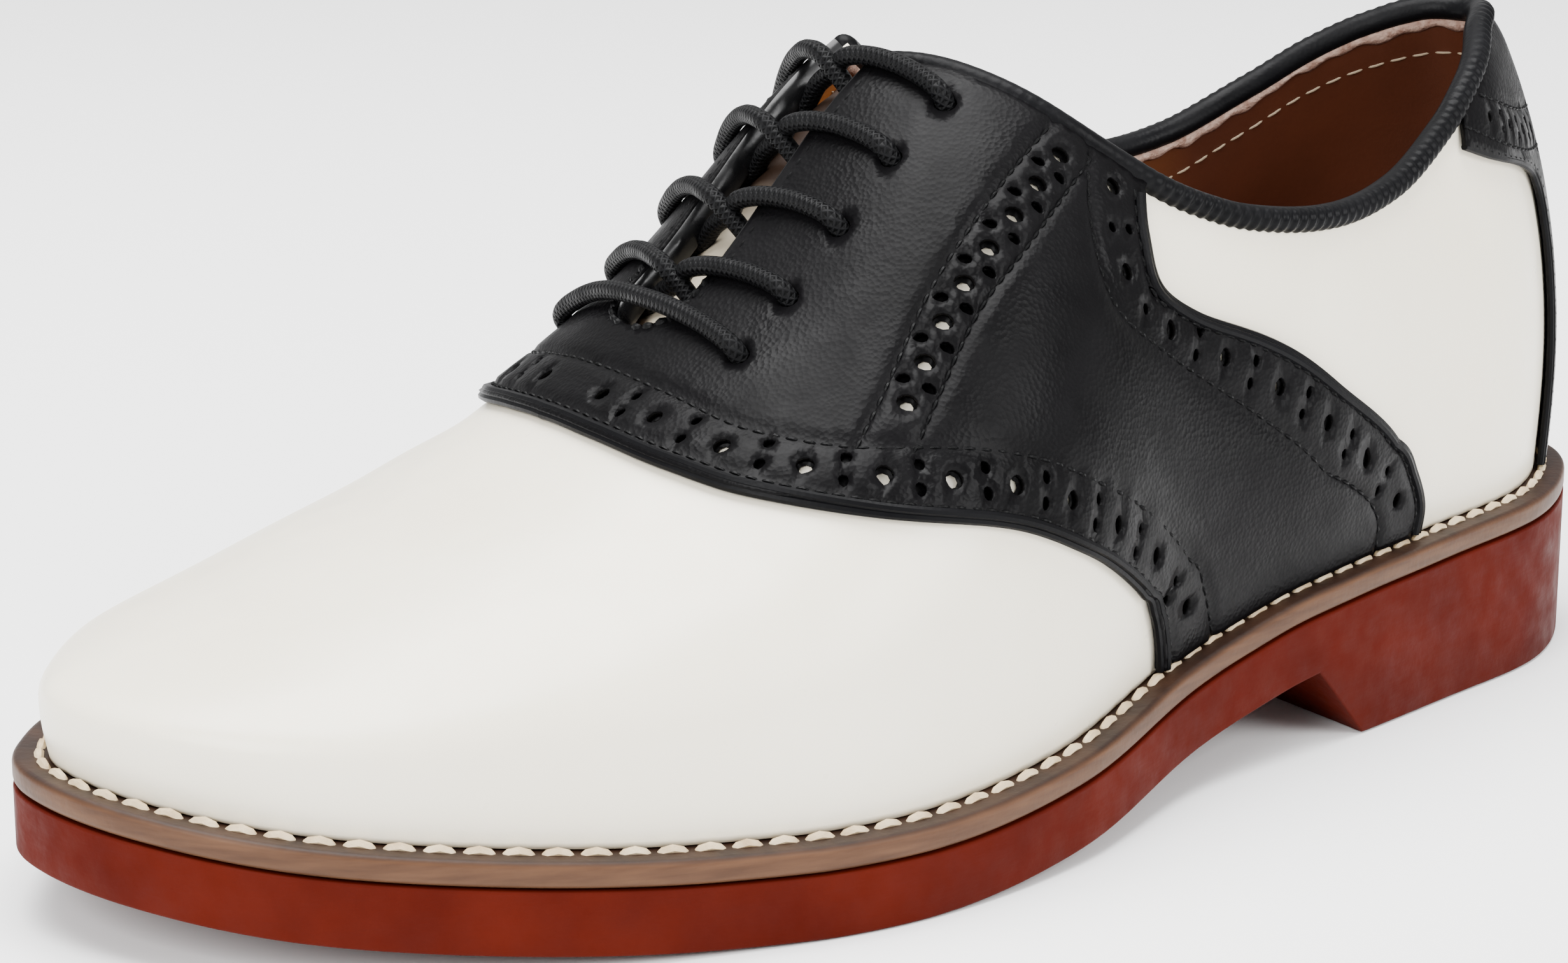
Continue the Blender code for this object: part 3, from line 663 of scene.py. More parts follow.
tan_lining = tan_leather("tan lining leather", (0.26, 0.085, 0.014), (0.066, 0.015, 0.004), 0.062)
lining_t = top_t(ring_turns)
lining_t = np.where(np.abs(ring_turns) < SLOT_FOOT, below(ring_turns, lining_t, 0.5 * MM), lining_t)
lining_grid = lining_t[:, None] * levels[None]
depth = np.full(lining_grid.shape, -(OUTER_LEATHER + LINING_GAP))
lining = piece("tan_lining", place(on_last(turn_grid, lining_grid, depth + creases(turn_grid, lining_grid))),
               loft(*turn_grid.shape, closed_rows=True, flip=True), tan_lining, "lining_leather", smooth=60)
thicken(lining, WALL - OUTER_LEATHER - LINING_GAP, -1)

sock_leather = tan_leather("sock leather", (0.28, 0.10, 0.022), (0.11, 0.028, 0.009), 0.035)
slab("leather_sock", WELT_STEP + WALL + 2 * CLEAR, lambda s: seat(s) + CLEAR,
     lambda s: seat(s) + CLEAR + INSOLE, SOCK_ROUND, sock_leather, "lining_leather", "insole")


# Saddle
# One black panel over both quarters and the instep, its outer edges folded over. Punched
# bands run along its front and rear edges and across its side; fine stitching sinks the
# leather along them, and the white upper shows through the larger holes.
PANEL_LIFT = 0.6 * MM
LEATHER = 1.3 * MM
PANEL_FOOT = 0.012
SADDLE_BACK = 0.6 * MM
# Share of the way up, turn of the front edge
SADDLE_FRONT = [
    (0.0, 0.45), (0.06, 0.452), (0.1, 0.454), (0.16, 0.458), (0.22, 0.465), (0.25, 0.476),
    (0.284, 0.491), (0.324, 0.511), (0.367, 0.53), (0.44, 0.56), (0.525, 0.589), (0.638, 0.615),
    (0.76, 0.629), (0.895, 0.635), (1.0, 0.636),
]
# Share of the way up, turn of the rear edge
SADDLE_REAR = [
    (0.0, 0.295), (0.068, 0.294), (0.14, 0.302), (0.217, 0.317), (0.292, 0.359), (0.37, 0.4),
    (0.425, 0.429), (0.468, 0.444), (0.525, 0.447), (0.6, 0.441),
]
# Share of the way up, turn of the front band's inner stitching
FRONT_BAND = [
    (0.0, 0.422), (0.05, 0.425), (0.13, 0.43), (0.214, 0.438), (0.257, 0.45), (0.297, 0.465),
    (0.326, 0.478), (0.348, 0.489), (0.43, 0.525), (0.517, 0.556), (0.598, 0.581), (0.7, 0.601),
    (0.86, 0.611), (1.0, 0.613),
]
# Share of the way up, turn of the rear band's inner stitching
REAR_BAND = [
    (0.0, 0.327), (0.09, 0.33), (0.195, 0.357), (0.3, 0.401), (0.41, 0.445), (0.48, 0.468),
    (0.57, 0.472), (0.64, 0.463),
]
# Turn, share of the way up of the middle band's front stitching
CROSS_FRONT = [
    (0.465, 0.693), (0.49, 0.68), (0.515, 0.665), (0.539, 0.65), (0.56, 0.62), (0.58, 0.588),
]
# Turn, share of the way up of its rear stitching
CROSS_REAR = [
    (0.462, 0.63), (0.481, 0.615), (0.502, 0.6), (0.529, 0.585), (0.55, 0.555), (0.564, 0.53),
]
PATCH_SPAN = np.array([330 * MM, 92 * MM])
BIG_HOLE = 1.5 * MM
SMALL_HOLE = 1.0 * MM
# Share of the way up, distance between the front band's large holes
FRONT_PITCH = [
    (0.0, 14.3 * MM), (0.25, 14.0 * MM), (0.33, 12.0 * MM), (0.4, 10.0 * MM), (0.5, 9.6 * MM),
    (0.6, 11.0 * MM), (0.72, 13.2 * MM), (0.85, 12.4 * MM), (1.0, 12.0 * MM),
]
REAR_PITCH = 12.4 * MM
CROSS_PITCH = 6.8 * MM
PAIR_APART = 3.7 * MM
SADDLE_STEP = 1.0 * MM
UNDER_ROLL = 2.4 * MM
TUCK = 4.0 * MM
FRONT_SEAM_IN = 2.6 * MM
REAR_SEAM_IN = 2.4 * MM
SWELL = 0.34 * MM
SEAM_DIP = 0.72 * MM
SEAM_REACH = 0.75 * MM
PUNCH_DIP = 0.12 * MM
PUNCH_REACH = 0.6 * MM
CROSS_SWELL = 0.35 * MM
CROSS_REACH = 1.6 * MM
EYELETS = [0.638, 0.605, 0.571, 0.537, 0.502]
EYELET_REACH = 28 * MM


def by_height(table, low, high, count=160):
    """Turn and height pairs along a table that gives turns by height."""
    t = np.linspace(low, high, count)
    return pairs(read(table, t), t)


def by_turn(table, count=120):
    u = np.linspace(table[0][0], table[-1][0], count)
    return pairs(u, read(table, u))


def spaced(line, pitch, side=1):
    """Places along a line of turn and height pairs, a pitch apart over the last."""
    path = over(line, side)
    size = np.broadcast_to(pitch, len(line))
    part = np.linalg.norm(np.diff(path, axis=0), axis=1) * 2 / (size[1:] + size[:-1])
    run = np.concatenate([[0], np.cumsum(part)])
    count = max(1, int(run[-1]))
    at = run[-1] * (np.arange(count) + 0.5) / count
    return at_run(at, run, line)


def shifted(spots, offsets, side=1):
    """Turn and height pairs moved over the last by offsets in metres, round it and up it."""
    u, t = side * spots[..., 0], spots[..., 1]
    offsets = np.asarray(offsets)
    step = 0.001
    round_it = (last(u + side * step, t) - last(u - side * step, t)) / (2 * step)
    up_it = (last(u, t + step) - last(u, t - step)) / (2 * step)
    width = np.linalg.norm(round_it, axis=-1)
    e1 = round_it / width[..., None]
    skew = np.sum(up_it * e1, -1)
    height = np.linalg.norm(up_it - skew[..., None] * e1, axis=-1)
    dt = offsets[..., 1] / height
    du = (offsets[..., 0] - skew * dt) / width
    return pairs(spots[..., 0] + du, spots[..., 1] + dt)


def ring_holes(centres, radius, corners, side=1):
    """List of loops of turn and height pairs, one round each centre."""
    angle = ring_angles(corners)
    offsets = radius * pairs(np.cos(angle), np.sin(angle))
    return list(shifted(np.repeat(centres[:, None], corners, 1), offsets, side))


def brogue(line, pitch, side=1):
    """Large holes along a line and pairs of small ones across it, halfway between."""
    large = spaced(line, pitch, side)
    middles = (large[1:] + large[:-1]) / 2
    here = over(large, side)
    run = here[1:] - here[:-1]
    up_it = over(shifted(large[:-1], (0.0, 1e-4), side), side) - here[:-1]
    rise = np.sum(unit(run) * unit(up_it), -1)
    flat = np.sqrt(np.clip(1 - rise ** 2, 0, 1))
    forward = np.sign(large[1:, 0] - large[:-1, 0] + 1e-9)
    across = pairs(-rise, flat * forward) * PAIR_APART / 2
    return large, np.concatenate([shifted(middles, across, side), shifted(middles, -across, side)])


def along_loop(corners, step):
    """Points along a closed loop of turn and height corners, no further apart than the step."""
    corners = np.asarray(corners, float)
    points = []
    for a, b in zip(corners, np.roll(corners, -1, 0)):
        count = max(1, math.ceil(np.hypot(*((b - a) * PATCH_SPAN)) / step))
        points.extend(a + (b - a) * k / count for k in range(count))
    return np.array(points)


def beside(seam, step):
    """Corners on a seam of turn and height pairs and a millimetre to either side of it."""
    path = seam * PATCH_SPAN
    way = unit(np.gradient(path, axis=0))
    run = run_along(path)
    at = np.arange(0, run[-1], step)
    rows = []
    for shift in (-MM, 0.0, MM):
        moved = path + shift * pairs(-way[:, 1], way[:, 0])
        rows.append(at_run(at, run, moved))
    rows = np.concatenate(rows)
    apart = np.unique(np.round(rows / (0.5 * MM)), axis=0, return_index=True)[1]
    return rows[apart] / PATCH_SPAN


def patch(loop, step, holes=(), seams=()):
    """Triangles inside a loop of turn and height pairs and outside the holes' loops."""
    low, high = loop.min(0), loop.max(0)
    columns = np.arange(low[0], high[0], step / PATCH_SPAN[0])
    rows = np.arange(low[1], high[1], step * 0.866 / PATCH_SPAN[1])
    inner = np.stack(np.meshgrid(columns, rows, indexing="ij"), -1)
    inner[:, ::2, 0] += 0.5 * step / PATCH_SPAN[0]
    inner = inner.reshape(-1, 2)
    if len(seams):
        rows = np.concatenate([beside(seam, 0.9 * step) for seam in seams])
        rows = rows[np.unique(np.round(rows * PATCH_SPAN / (0.6 * MM)), axis=0, return_index=True)[1]]
        far = distance_to(inner * PATCH_SPAN, [rows * PATCH_SPAN]) > 0.7 * MM
        inner = np.vstack([inner[far], rows])
    crossed = np.zeros(len(inner), bool)
    near = np.full(len(inner), np.inf)
    for a, b in zip(loop, np.roll(loop, -1, 0)):
        between = (a[1] > inner[:, 1]) != (b[1] > inner[:, 1])
        rise = b[1] - a[1] if b[1] != a[1] else 1e-9
        crossed ^= between & (inner[:, 0] < a[0] + (inner[:, 1] - a[1]) * (b[0] - a[0]) / rise)
        near = np.minimum(near, np.hypot(*((inner - a) * PATCH_SPAN).T))
    keep = crossed & (near > 0.6 * step)
    for hole in holes:
        middle = hole.mean(0)
        reach = np.hypot(*((hole - middle) * PATCH_SPAN).T).max()
        keep &= np.hypot(*((inner - middle) * PATCH_SPAN).T) > reach + 0.5 * step
    inner = inner[keep]
    points = np.vstack([loop, *holes, inner])
    bounds = [list(range(len(loop)))]
    start = len(loop)
    for hole in holes:
        bounds.append(list(range(start, start + len(hole))))
        start += len(hole)
    made = delaunay_2d_cdt([tuple(q) for q in points * PATCH_SPAN], [], bounds, 1, 1e-8)
    where = np.array([tuple(q) for q in made[0]]) / PATCH_SPAN
    faces = [list(face) for face, owners in zip(made[2], made[5]) if max(owners) == 0]
    return where, faces


def distance_to(points, paths):
    """Distance from each point to the nearest of some dense paths."""
    path = np.concatenate(paths)
    near = np.full(len(points), np.inf)
    for k in range(0, len(points), 2000):
        some = points[k:k + 2000]
        gap = np.sum(some ** 2, 1)[:, None] - 2 * some @ path.T + np.sum(path ** 2, 1)[None]
        near[k:k + 2000] = np.sqrt(np.clip(gap.min(1), 0, None))
    return near


def route(line, side, lift):
    """Path over the last with its normals, along a line of turn and height pairs."""
    turn, t = side * line[:, 0], line[:, 1]
    return on_last(turn, t, np.full(len(turn), lift)), outward(turn, t)


def saddle_lines(side):
    """Stitched lines of one side as turn and height pairs, front and rear edges first."""
    edge_front = shifted(by_height(SADDLE_FRONT, PANEL_FOOT, 1.0), (-FRONT_SEAM_IN, 0.0), side)
    edge_rear = shifted(by_height(SADDLE_REAR, PANEL_FOOT, 0.6), (REAR_SEAM_IN, 0.0), side)
    return [edge_front, by_height(FRONT_BAND, PANEL_FOOT, 1.0), edge_rear,
            by_height(REAR_BAND, PANEL_FOOT, 0.64), by_turn(CROSS_FRONT), by_turn(CROSS_REAR)]


def panel_top(turn):
    """Height of the panels' upper edge, tucked under the collar roll."""
    return below(turn, read(TOPLINE, np.abs(turn)), UNDER_ROLL)


def tucked(turn, t):
    """Share of a panel's lift that is left near its upper edge: a parabola over four millimetres."""
    room = np.clip((panel_top(turn) - t) * PATCH_SPAN[1] / TUCK, 0, 1)
    return np.where(np.abs(turn) < SLOT_TOP + 0.004, 0.12 + 0.88 * (1 - (1 - room) ** 2), 1.0)


def ridge_spot(share, across):
    """Turn and height at a share of the length and a distance across from the ridge, over the last."""
    share, across = np.broadcast_arrays(np.asarray(share, float), np.asarray(across, float))
    turn = turn_of(share) * np.where(across >= 0, 1, -1)
    t = np.linspace(1, 0.4, 241)
    path = last(turn[:, None], t[None])
    run = np.cumsum(np.linalg.norm(np.diff(path, axis=1), axis=2), axis=1)
    run = np.concatenate([np.zeros((len(turn), 1)), run], 1)
    reach = np.abs(across)[:, None]
    k = np.clip(np.sum(run < reach, 1), 1, 240)
    row = np.arange(len(turn))
    part = (reach[:, 0] - run[row, k - 1]) / (run[row, k] - run[row, k - 1])
    return turn, t[k - 1] + np.clip(part, 0, 1) * (t[k] - t[k - 1])


def both_sides(name, panels, *rest, **more):
    """Piece of the lateral and the medial half of a panel."""
    (where, lateral, faces), (other, medial, back) = panels
    faces = turned(faces) + [[len(lateral) + k for k in face] for face in back]
    return piece(name, place(np.vstack([lateral, medial])), faces, *rest, **more)


saddle_rims = {}
saddle_wells = {}
saddle_panels = []
EYELET = 1.85 * MM
for side in (1, -1):
    front = by_height(SADDLE_FRONT, PANEL_FOOT, 1, 60)
    ridge = [(turn, 1.0) for turn in np.linspace(SADDLE_FRONT[-1][1], SLOT_FOOT, 12)[1:]]
    corner = gap_corner(side)
    facing = SLOT_FOOT - SLOT_ROUND * (1 - np.cos(np.linspace(0.25, 1, 8) * math.pi / 2))
    facing = np.concatenate([facing, np.linspace(facing[-1], corner, 40)[1:]])
    collar = np.linspace(corner, read(SADDLE_REAR, 0.6), 24)
    collar_t = panel_top(side * collar)
    edge_t = below(side * facing, slot_t(side * facing), SADDLE_BACK)
    tucked_in = facing < corner + 0.003
    edge_t[tucked_in] = np.minimum(edge_t[tucked_in], panel_top(side * facing[tucked_in]))
    inside = zip(facing, edge_t)
    top = zip(collar[1:], collar_t[1:])
    rear_t = np.linspace(collar_t[-1], PANEL_FOOT, 60)[1:]
    rear = zip(read(SADDLE_REAR, rear_t), rear_t)
    loop = along_loop([*front, *ridge, *inside, *top, *rear], SADDLE_STEP)
    front_line = (by_height(SADDLE_FRONT, 0.03, 0.985) + by_height(FRONT_BAND, 0.03, 0.985)) / 2
    front_line = shifted(front_line, (-1.1 * MM, 0.0), side)
    rear_line = (by_height(SADDLE_REAR, 0.03, 0.64) + by_height(REAR_BAND, 0.03, 0.64)) / 2
    rear_line = shifted(rear_line, (0.9 * MM, 0.0), side)
    rear_line = rear_line[rear_line[:, 1] < panel_top(side * rear_line[:, 0]) + 0.01]
    cross_line = (by_turn(CROSS_FRONT) + by_turn(CROSS_REAR))[6:-9] / 2
    eye_turn, eye_t = ridge_spot(EYELETS, side * np.full(5, EYELET_REACH - 1.6 * MM))
    eyes = pairs(np.abs(eye_turn), eye_t)
    holes = ring_holes(eyes, EYELET, 12, side)
    wells = ring_holes(eyes, EYELET * 1.1, 8, side)
    punched_lines = [(front_line, read(FRONT_PITCH, front_line[:, 1])), (rear_line, REAR_PITCH),
                     (cross_line, CROSS_PITCH)]
    for line, pitch in punched_lines:
        large, small = brogue(line, pitch, side)
        holes += ring_holes(large, BIG_HOLE, 12, side) + ring_holes(small, SMALL_HOLE, 9, side)
        wells += ring_holes(large, BIG_HOLE * 0.72, 8, side)
    saddle_rims[side] = loop[::3]
    saddle_wells[side] = wells
    where, faces = patch(loop, SADDLE_STEP, holes, saddle_lines(side))
    turn, t = side * where[:, 0], where[:, 1]
    plain = last(turn, t)
    sewn = distance_to(plain, [over(line, side) for line in saddle_lines(side)])
    punched = distance_to(plain, [over(hole, side) for hole in holes])
    in_cross = (t < read(CROSS_FRONT, where[:, 0])) & (t > read(CROSS_REAR, where[:, 0]))
    in_cross &= (where[:, 0] > 0.455) & (where[:, 0] < 0.585)
    lift = SWELL - SEAM_DIP * np.exp(-(sewn / SEAM_REACH) ** 2) - PUNCH_DIP * np.exp(-punched / PUNCH_REACH)
    lift += PANEL_LIFT + np.where(in_cross, CROSS_SWELL * (1 - np.exp(-(sewn / CROSS_REACH) ** 2)), 0)
    saddle_panels.append((where, on_last(turn, t, lift * tucked(turn, t)), faces))
(where, lateral, faces), (other, medial, back) = saddle_panels
for k in np.flatnonzero(where[:, 1] > 1 - 1e-5):
    twin = np.argmin(np.hypot(*(other - where[k]).T))
    lateral[k] = medial[twin] = (lateral[k] + medial[twin]) / 2


def black_leather(name, colour=(0.0016, 0.0015, 0.0017), grain=0.00009):
    """Black grained leather with a soft sheen, a finer polish on its high spots and faint scuffs."""
    nodes = finish_nodes(name, colour, 0.36)
    made, shader, where = nodes
    dress(nodes, shades=((45, 5), colour, tuple(2.1 * c for c in colour)), gloss=((120, 5), 0.28, 0.50),
          bumps=[((80, 4), 0.0002, 0.4)], Specular_IOR_Level=0.055)
    bump(shader, add(shader, "TexVoronoi", Vector=where, Scale=1300).outputs["Distance"], grain, 0.7)
    return made


saddle_black = black_leather("black saddle leather")
saddle = both_sides("black_saddle", saddle_panels, saddle_black, "black_leather", "saddle", smooth=50)
thicken(saddle, LEATHER, 1)


# Leather under the saddle
# A thin black backing lies between the saddle and the white upper, so that only the
# large holes, each cut through it a little smaller, let the white leather show.
UNDER_LIFT = 0.25 * MM
BACKING = 0.2 * MM
under_panels = []
for side in (1, -1):
    where, faces = patch(saddle_rims[side], 4 * MM, saddle_wells[side])
    under_panels.append((where, route(where, side, UNDER_LIFT)[0], faces))
backing = both_sides("saddle_backing", under_panels, saddle_black, "black_leather", smooth=60)
thicken(backing, BACKING, 1)


# Saddle's folded edges and stitching
# The front and rear edges are turned under into a soft double roll. Black machine
# stitches, nearly four to the centimetre, run beside the edges and along the bands.
FOLD = 0.75 * MM
SECOND_FOLD = 1.25 * MM


def roll(name, paths, radius, finish, sides=8, squash=1.0):
    """Round bead along each path of points, its section flattened by the squash off the surface."""
    points = []
    faces = []
    start = 0
    angle = ring_angles(sides)
    for path, up in paths:
        along = unit(np.gradient(path, axis=0))
        side = unit(np.cross(along, up))[:, None]
        over = np.cross(side[:, 0], along)[:, None]
        ring = np.cos(angle)[None, :, None] * side + squash * np.sin(angle)[None, :, None] * over
        points.append((path[:, None] + radius * ring).reshape(-1, 3))
        faces += tube(len(path), sides, start)
        start += len(path) * sides
    return piece(name, place(np.concatenate(points)), faces, finish, "black_leather")


folds = []
for side in (1, -1):
    for table, high, inward in ((SADDLE_FRONT, 1.0, -1), (SADDLE_REAR, 0.565, 1)):
        line = by_height(table, PANEL_FOOT, high, 220)
        folds.append(route(line, side, PANEL_LIFT + 0.45 * LEATHER))
        second = shifted(line, (inward * SECOND_FOLD, 0.0), side)
        folds.append(route(second, side, PANEL_LIFT + LEATHER - 0.1 * MM))
fold_black = black_leather("black folded edge", (0.002, 0.002, 0.0023), 0.00003)
roll("saddle_folded_edges", folds, FOLD, fold_black, squash=0.95)

black_thread = dress(finish_nodes("black waxed thread", (0.0015, 0.0015, 0.0017), 0.42),
                     gloss=((500, 3), 0.3, 0.55), bumps=[((3000, 2), 0.00006)], Specular_IOR_Level=0.08)

saddle_rows = []
for side in (1, -1):
    for line in saddle_lines(side):
        line = line[(line[:, 1] < panel_top(line[:, 0]) - 0.02) | (line[:, 0] > SLOT_TOP)]
        saddle_rows.append(route(line, side, PANEL_LIFT + LEATHER - 0.14 * MM))

SADDLE_STITCH = (2.7 * MM, 2.2 * MM, 0.3 * MM, 0.4 * MM)
stitches("saddle_stitching", saddle_rows, SADDLE_STITCH, black_thread)


# Facing edges
# Both layers of each facing end in a painted, shiny black edge with a row of stitches
# beside it. A thick ring of loops strengthens the gap's lower end.
EDGE_SINK = 0.22 * MM
EDGE_HALF = 0.62 * MM
edge_paint = dress(finish_nodes("painted black edge", (0.003, 0.003, 0.0033), 0.22),
                   gloss=((300, 4), 0.16, 0.34), bumps=[((400, 2), 0.00005)], Specular_IOR_Level=0.35)

bend = 0.97 * np.linspace(0, 1, 30)[1:] * math.pi / 2
gap_turns = np.concatenate([np.linspace(SLOT_TOP - 0.004, SLOT_FOOT - SLOT_ROUND, 100),
                            SLOT_FOOT - SLOT_ROUND * (1 - np.sin(bend))])
painted = []
for side in (1, -1):
    open_turns = gap_turns[gap_turns > gap_corner(side) + 0.002]
    line = pairs(open_turns, slot_t(side * open_turns))
    painted.append(route(line, side, -EDGE_SINK))
roll("facing_edges", painted, EDGE_HALF, edge_paint, sides=12, squash=3.5)

facing_rows = []
ring_rows = []
for side in (1, -1):
    long_line = gap_turns[(gap_turns > gap_corner(side) + 0.005) & (gap_turns < SLOT_FOOT - SLOT_ROUND)]
    line = pairs(long_line, below(side * long_line, slot_t(side * long_line), 2.6 * MM))
    facing_rows.append(route(line, side, PANEL_LIFT + LEATHER + 0.25 * MM))
    foot = gap_turns[gap_turns > SLOT_FOOT - 1.7 * SLOT_ROUND]
    line = pairs(foot, below(side * foot, slot_t(side * foot), 1.2 * MM))
    ring_rows.append(route(line, side, PANEL_LIFT + LEATHER + 0.35 * MM))
FACING_STITCH = (2.7 * MM, 2.2 * MM, 0.3 * MM, 0.35 * MM)
RING_STITCH = (2.3 * MM, 2.3 * MM, 0.62 * MM, 0.45 * MM)
stitches("facing_stitching", facing_rows, FACING_STITCH, black_thread)
stitches("gap_foot_ring", ring_rows, RING_STITCH, black_thread)


# Heel counter and tab
# A black counter covers the heel's back from the welt up and spreads into a tab below
# the collar. Its punched band is smaller than the saddle's.
# Share of the way up, turn of the counter's front edge
COUNTER = [
    (0.01, 0.133), (0.1, 0.13), (0.2, 0.127), (0.3, 0.122), (0.38, 0.122), (0.43, 0.13), (0.45, 0.147),
    (0.462, 0.175), (0.476, 0.222), (0.491, 0.252),
]
TAB_BIG = 1.0 * MM
TAB_SMALL = 0.62 * MM
TAB_PITCH = 7.6 * MM
PAIR_HALF = 1.35 * MM
TAB_SWELL = 0.15 * MM
TAB_DIP = 0.35 * MM
TAB_EDGE = 0.68 * MM
climb = np.linspace(PANEL_FOOT, COUNTER[-1][0], 110)
counter_front = pairs(read(COUNTER, climb), climb)
head = np.linspace(COUNTER[-1][1], -COUNTER[-1][1], 90)
counter_head = pairs(head, panel_top(head))[1:-1]
mirror = counter_front[::-1] * (-1, 1)
counter_loop = along_loop(np.concatenate([counter_front, counter_head, mirror]), SADDLE_STEP)
# Turn, share of the way up of the band's lower stitching
TAB_LOW = [
    (0.0, 0.463), (0.09, 0.466), (0.17, 0.476), (0.215, 0.492), (0.254, 0.515),
]
tab_low = [(-turn, t) for turn, t in TAB_LOW[:0:-1]] + TAB_LOW
tab_turns = np.linspace(-0.254, 0.254, 160)
band_low = pairs(tab_turns, read(tab_low, tab_turns))
band_low = band_low[band_low[:, 1] < panel_top(band_low[:, 0]) - 0.008]
band_high = band_low + (0, 0.050)
band_high = band_high[band_high[:, 1] < panel_top(band_high[:, 0]) - 0.01]
band_middle = band_low + (0, 0.025)
band_middle = band_middle[band_middle[:, 1] < panel_top(band_middle[:, 0]) - 0.02]
big = spaced(band_middle, TAB_PITCH)
between = (big[1:] + big[:-1]) / 2
tab_holes = ring_holes(big, TAB_BIG, 10)
for rise in (PAIR_HALF, -PAIR_HALF):
    tab_holes += ring_holes(shifted(between, (0.0, rise)), TAB_SMALL, 8)
where, faces = patch(counter_loop, SADDLE_STEP, tab_holes, [band_low, band_high])
plain = over(where)
sewn = distance_to(plain, [over(band_low), over(band_high)])
lift = PANEL_LIFT + TAB_SWELL - TAB_DIP * np.exp(-(sewn / SEAM_REACH) ** 2)
lift *= tucked(where[:, 0], where[:, 1])
counter = piece("heel_counter", place(on_last(where[:, 0], where[:, 1], lift)), turned(faces),
                black_leather("black counter leather"), "black_leather", "backstay", smooth=50)
thicken(counter, LEATHER, 1)

edge_in = shifted(counter_front, (-1.8 * MM, 0.0))
tab_rows = [route(line, side, PANEL_LIFT + LEATHER)
            for line, side in ((edge_in, 1), (edge_in, -1), (band_low, 1), (band_high, 1))]
TAB_STITCH = (2.4 * MM, 1.95 * MM, 0.27 * MM, 0.35 * MM)
stitches("heel_counter_stitching", tab_rows, TAB_STITCH, black_thread)
roll("heel_counter_edge", [route(counter_front, side, PANEL_LIFT + 0.5 * LEATHER) for side in (1, -1)],
     TAB_EDGE, fold_black)


# Collar binding
# A strip of black leather rolled over the top edge and whipped down, so that slanting
# ribs stand along its outer side. Inside, the lining's raw edge frays below it.
BINDING_SIDES = 22
RIB_PITCH = 2.0 * MM
RIB_SWELL = 0.085
ROLL_OUT = 2.45 * MM
ROLL_UP = 2.15 * MM
ROLL_IN = 0.25 * MM
ROLL_DOWN = 1.15 * MM
collar_turns = np.concatenate([np.linspace(-gap_corner(-1), 0, 700), np.linspace(0, gap_corner(1), 700)[1:]])
collar_t = top_t(collar_turns)
brim = last(collar_turns, collar_t)
run = run_along(brim)
even = np.linspace(0, run[-1], 1500)
brim_turns, brim_t = at_run(even, run, pairs(collar_turns, collar_t)).T
brim = last(brim_turns, brim_t)
brim_out = outward(brim_turns, brim_t)
brim_up = np.cross(brim_out, unit(np.gradient(brim, axis=0)))
brim_up *= np.sign(brim_up[:, 2:3])
angle = ring_angles(BINDING_SIDES)
outer = np.clip(np.cos(angle + 0.5), 0, 1) ** 0.6
ribs = np.cos(2 * math.pi * even[:, None] / RIB_PITCH + 1.3 * np.sin(angle)[None])
ribbed = np.clip((0.445 - np.abs(brim_turns)) / 0.02, 0.12, 1)[:, None]
swell = 1 + RIB_SWELL * ribbed * ribs * outer[None] - 0.05 * np.exp(-((angle - 2.4) / 0.18) ** 2)[None]
taper = 0.15 + 0.85 * np.clip(np.minimum(even, run[-1] - even) / (1.5 * MM), 0, 1)[:, None] ** 0.5
profile_out = ROLL_OUT * np.cos(angle)[None] * swell * taper - ROLL_IN
profile_up = ROLL_UP * np.sin(angle)[None] * swell * taper - ROLL_DOWN
tube_points = brim[:, None] + brim_out[:, None] * profile_out[..., None]
tube_points = tube_points + brim_up[:, None] * profile_up[..., None]
binding_black = black_leather("black binding leather", (0.002, 0.002, 0.0023), 0.00005)
piece("collar_roll", place(tube_points), turned(tube(*tube_points.shape[:2])), binding_black,
      "black_leather", "collar_binding")

LINING_SEAM = 9.5 * MM
RAW_EDGE = 0.35 * MM
raw_edge = dress(finish_nodes("raw lining edge", (0.50, 0.36, 0.30), 0.85),
                 shades=((600, 5), (0.19, 0.10, 0.07), (0.42, 0.29, 0.23)), bumps=[((1500, 4), 0.0004)])
fray = 1.5 + 0.5 * np.sin(even / (3.1 * MM)) * np.sin(even / (7.3 * MM) + 1)
fray += 0.35 * np.sin(even / (1.1 * MM))
across = np.linspace(0, 1, 6)
strip_t = below(brim_turns[:, None], brim_t[:, None], 2.4 * MM + across[None] * (fray[:, None] + 0.6) * MM)
bulge = -(WALL + 0.15 * MM + 0.45 * MM * np.sin(across * math.pi)[None] * np.ones((len(even), 1)))
strip = piece("raw_lining_edge", place(on_last(np.repeat(brim_turns[:, None], 6, 1), strip_t, bulge)),
              loft(len(even), 6, flip=True), raw_edge, "lining_leather")
thicken(strip, RAW_EDGE, -1)

pale_thread = dress(finish_nodes("pale lining thread", (0.34, 0.26, 0.17), 0.6), bumps=[((3000, 2), 0.00006)])
low_t = below(brim_turns, brim_t, LINING_SEAM)
lining_row = on_last(brim_turns, low_t, np.full(len(even), -(WALL + 0.12 * MM)))
LINING_STITCH = (4.1 * MM, 3.2 * MM, 0.22 * MM, 0.25 * MM)
stitches("lining_stitching", [(lining_row, -outward(brim_turns, low_t))], LINING_STITCH,
         pale_thread, "lining_leather")


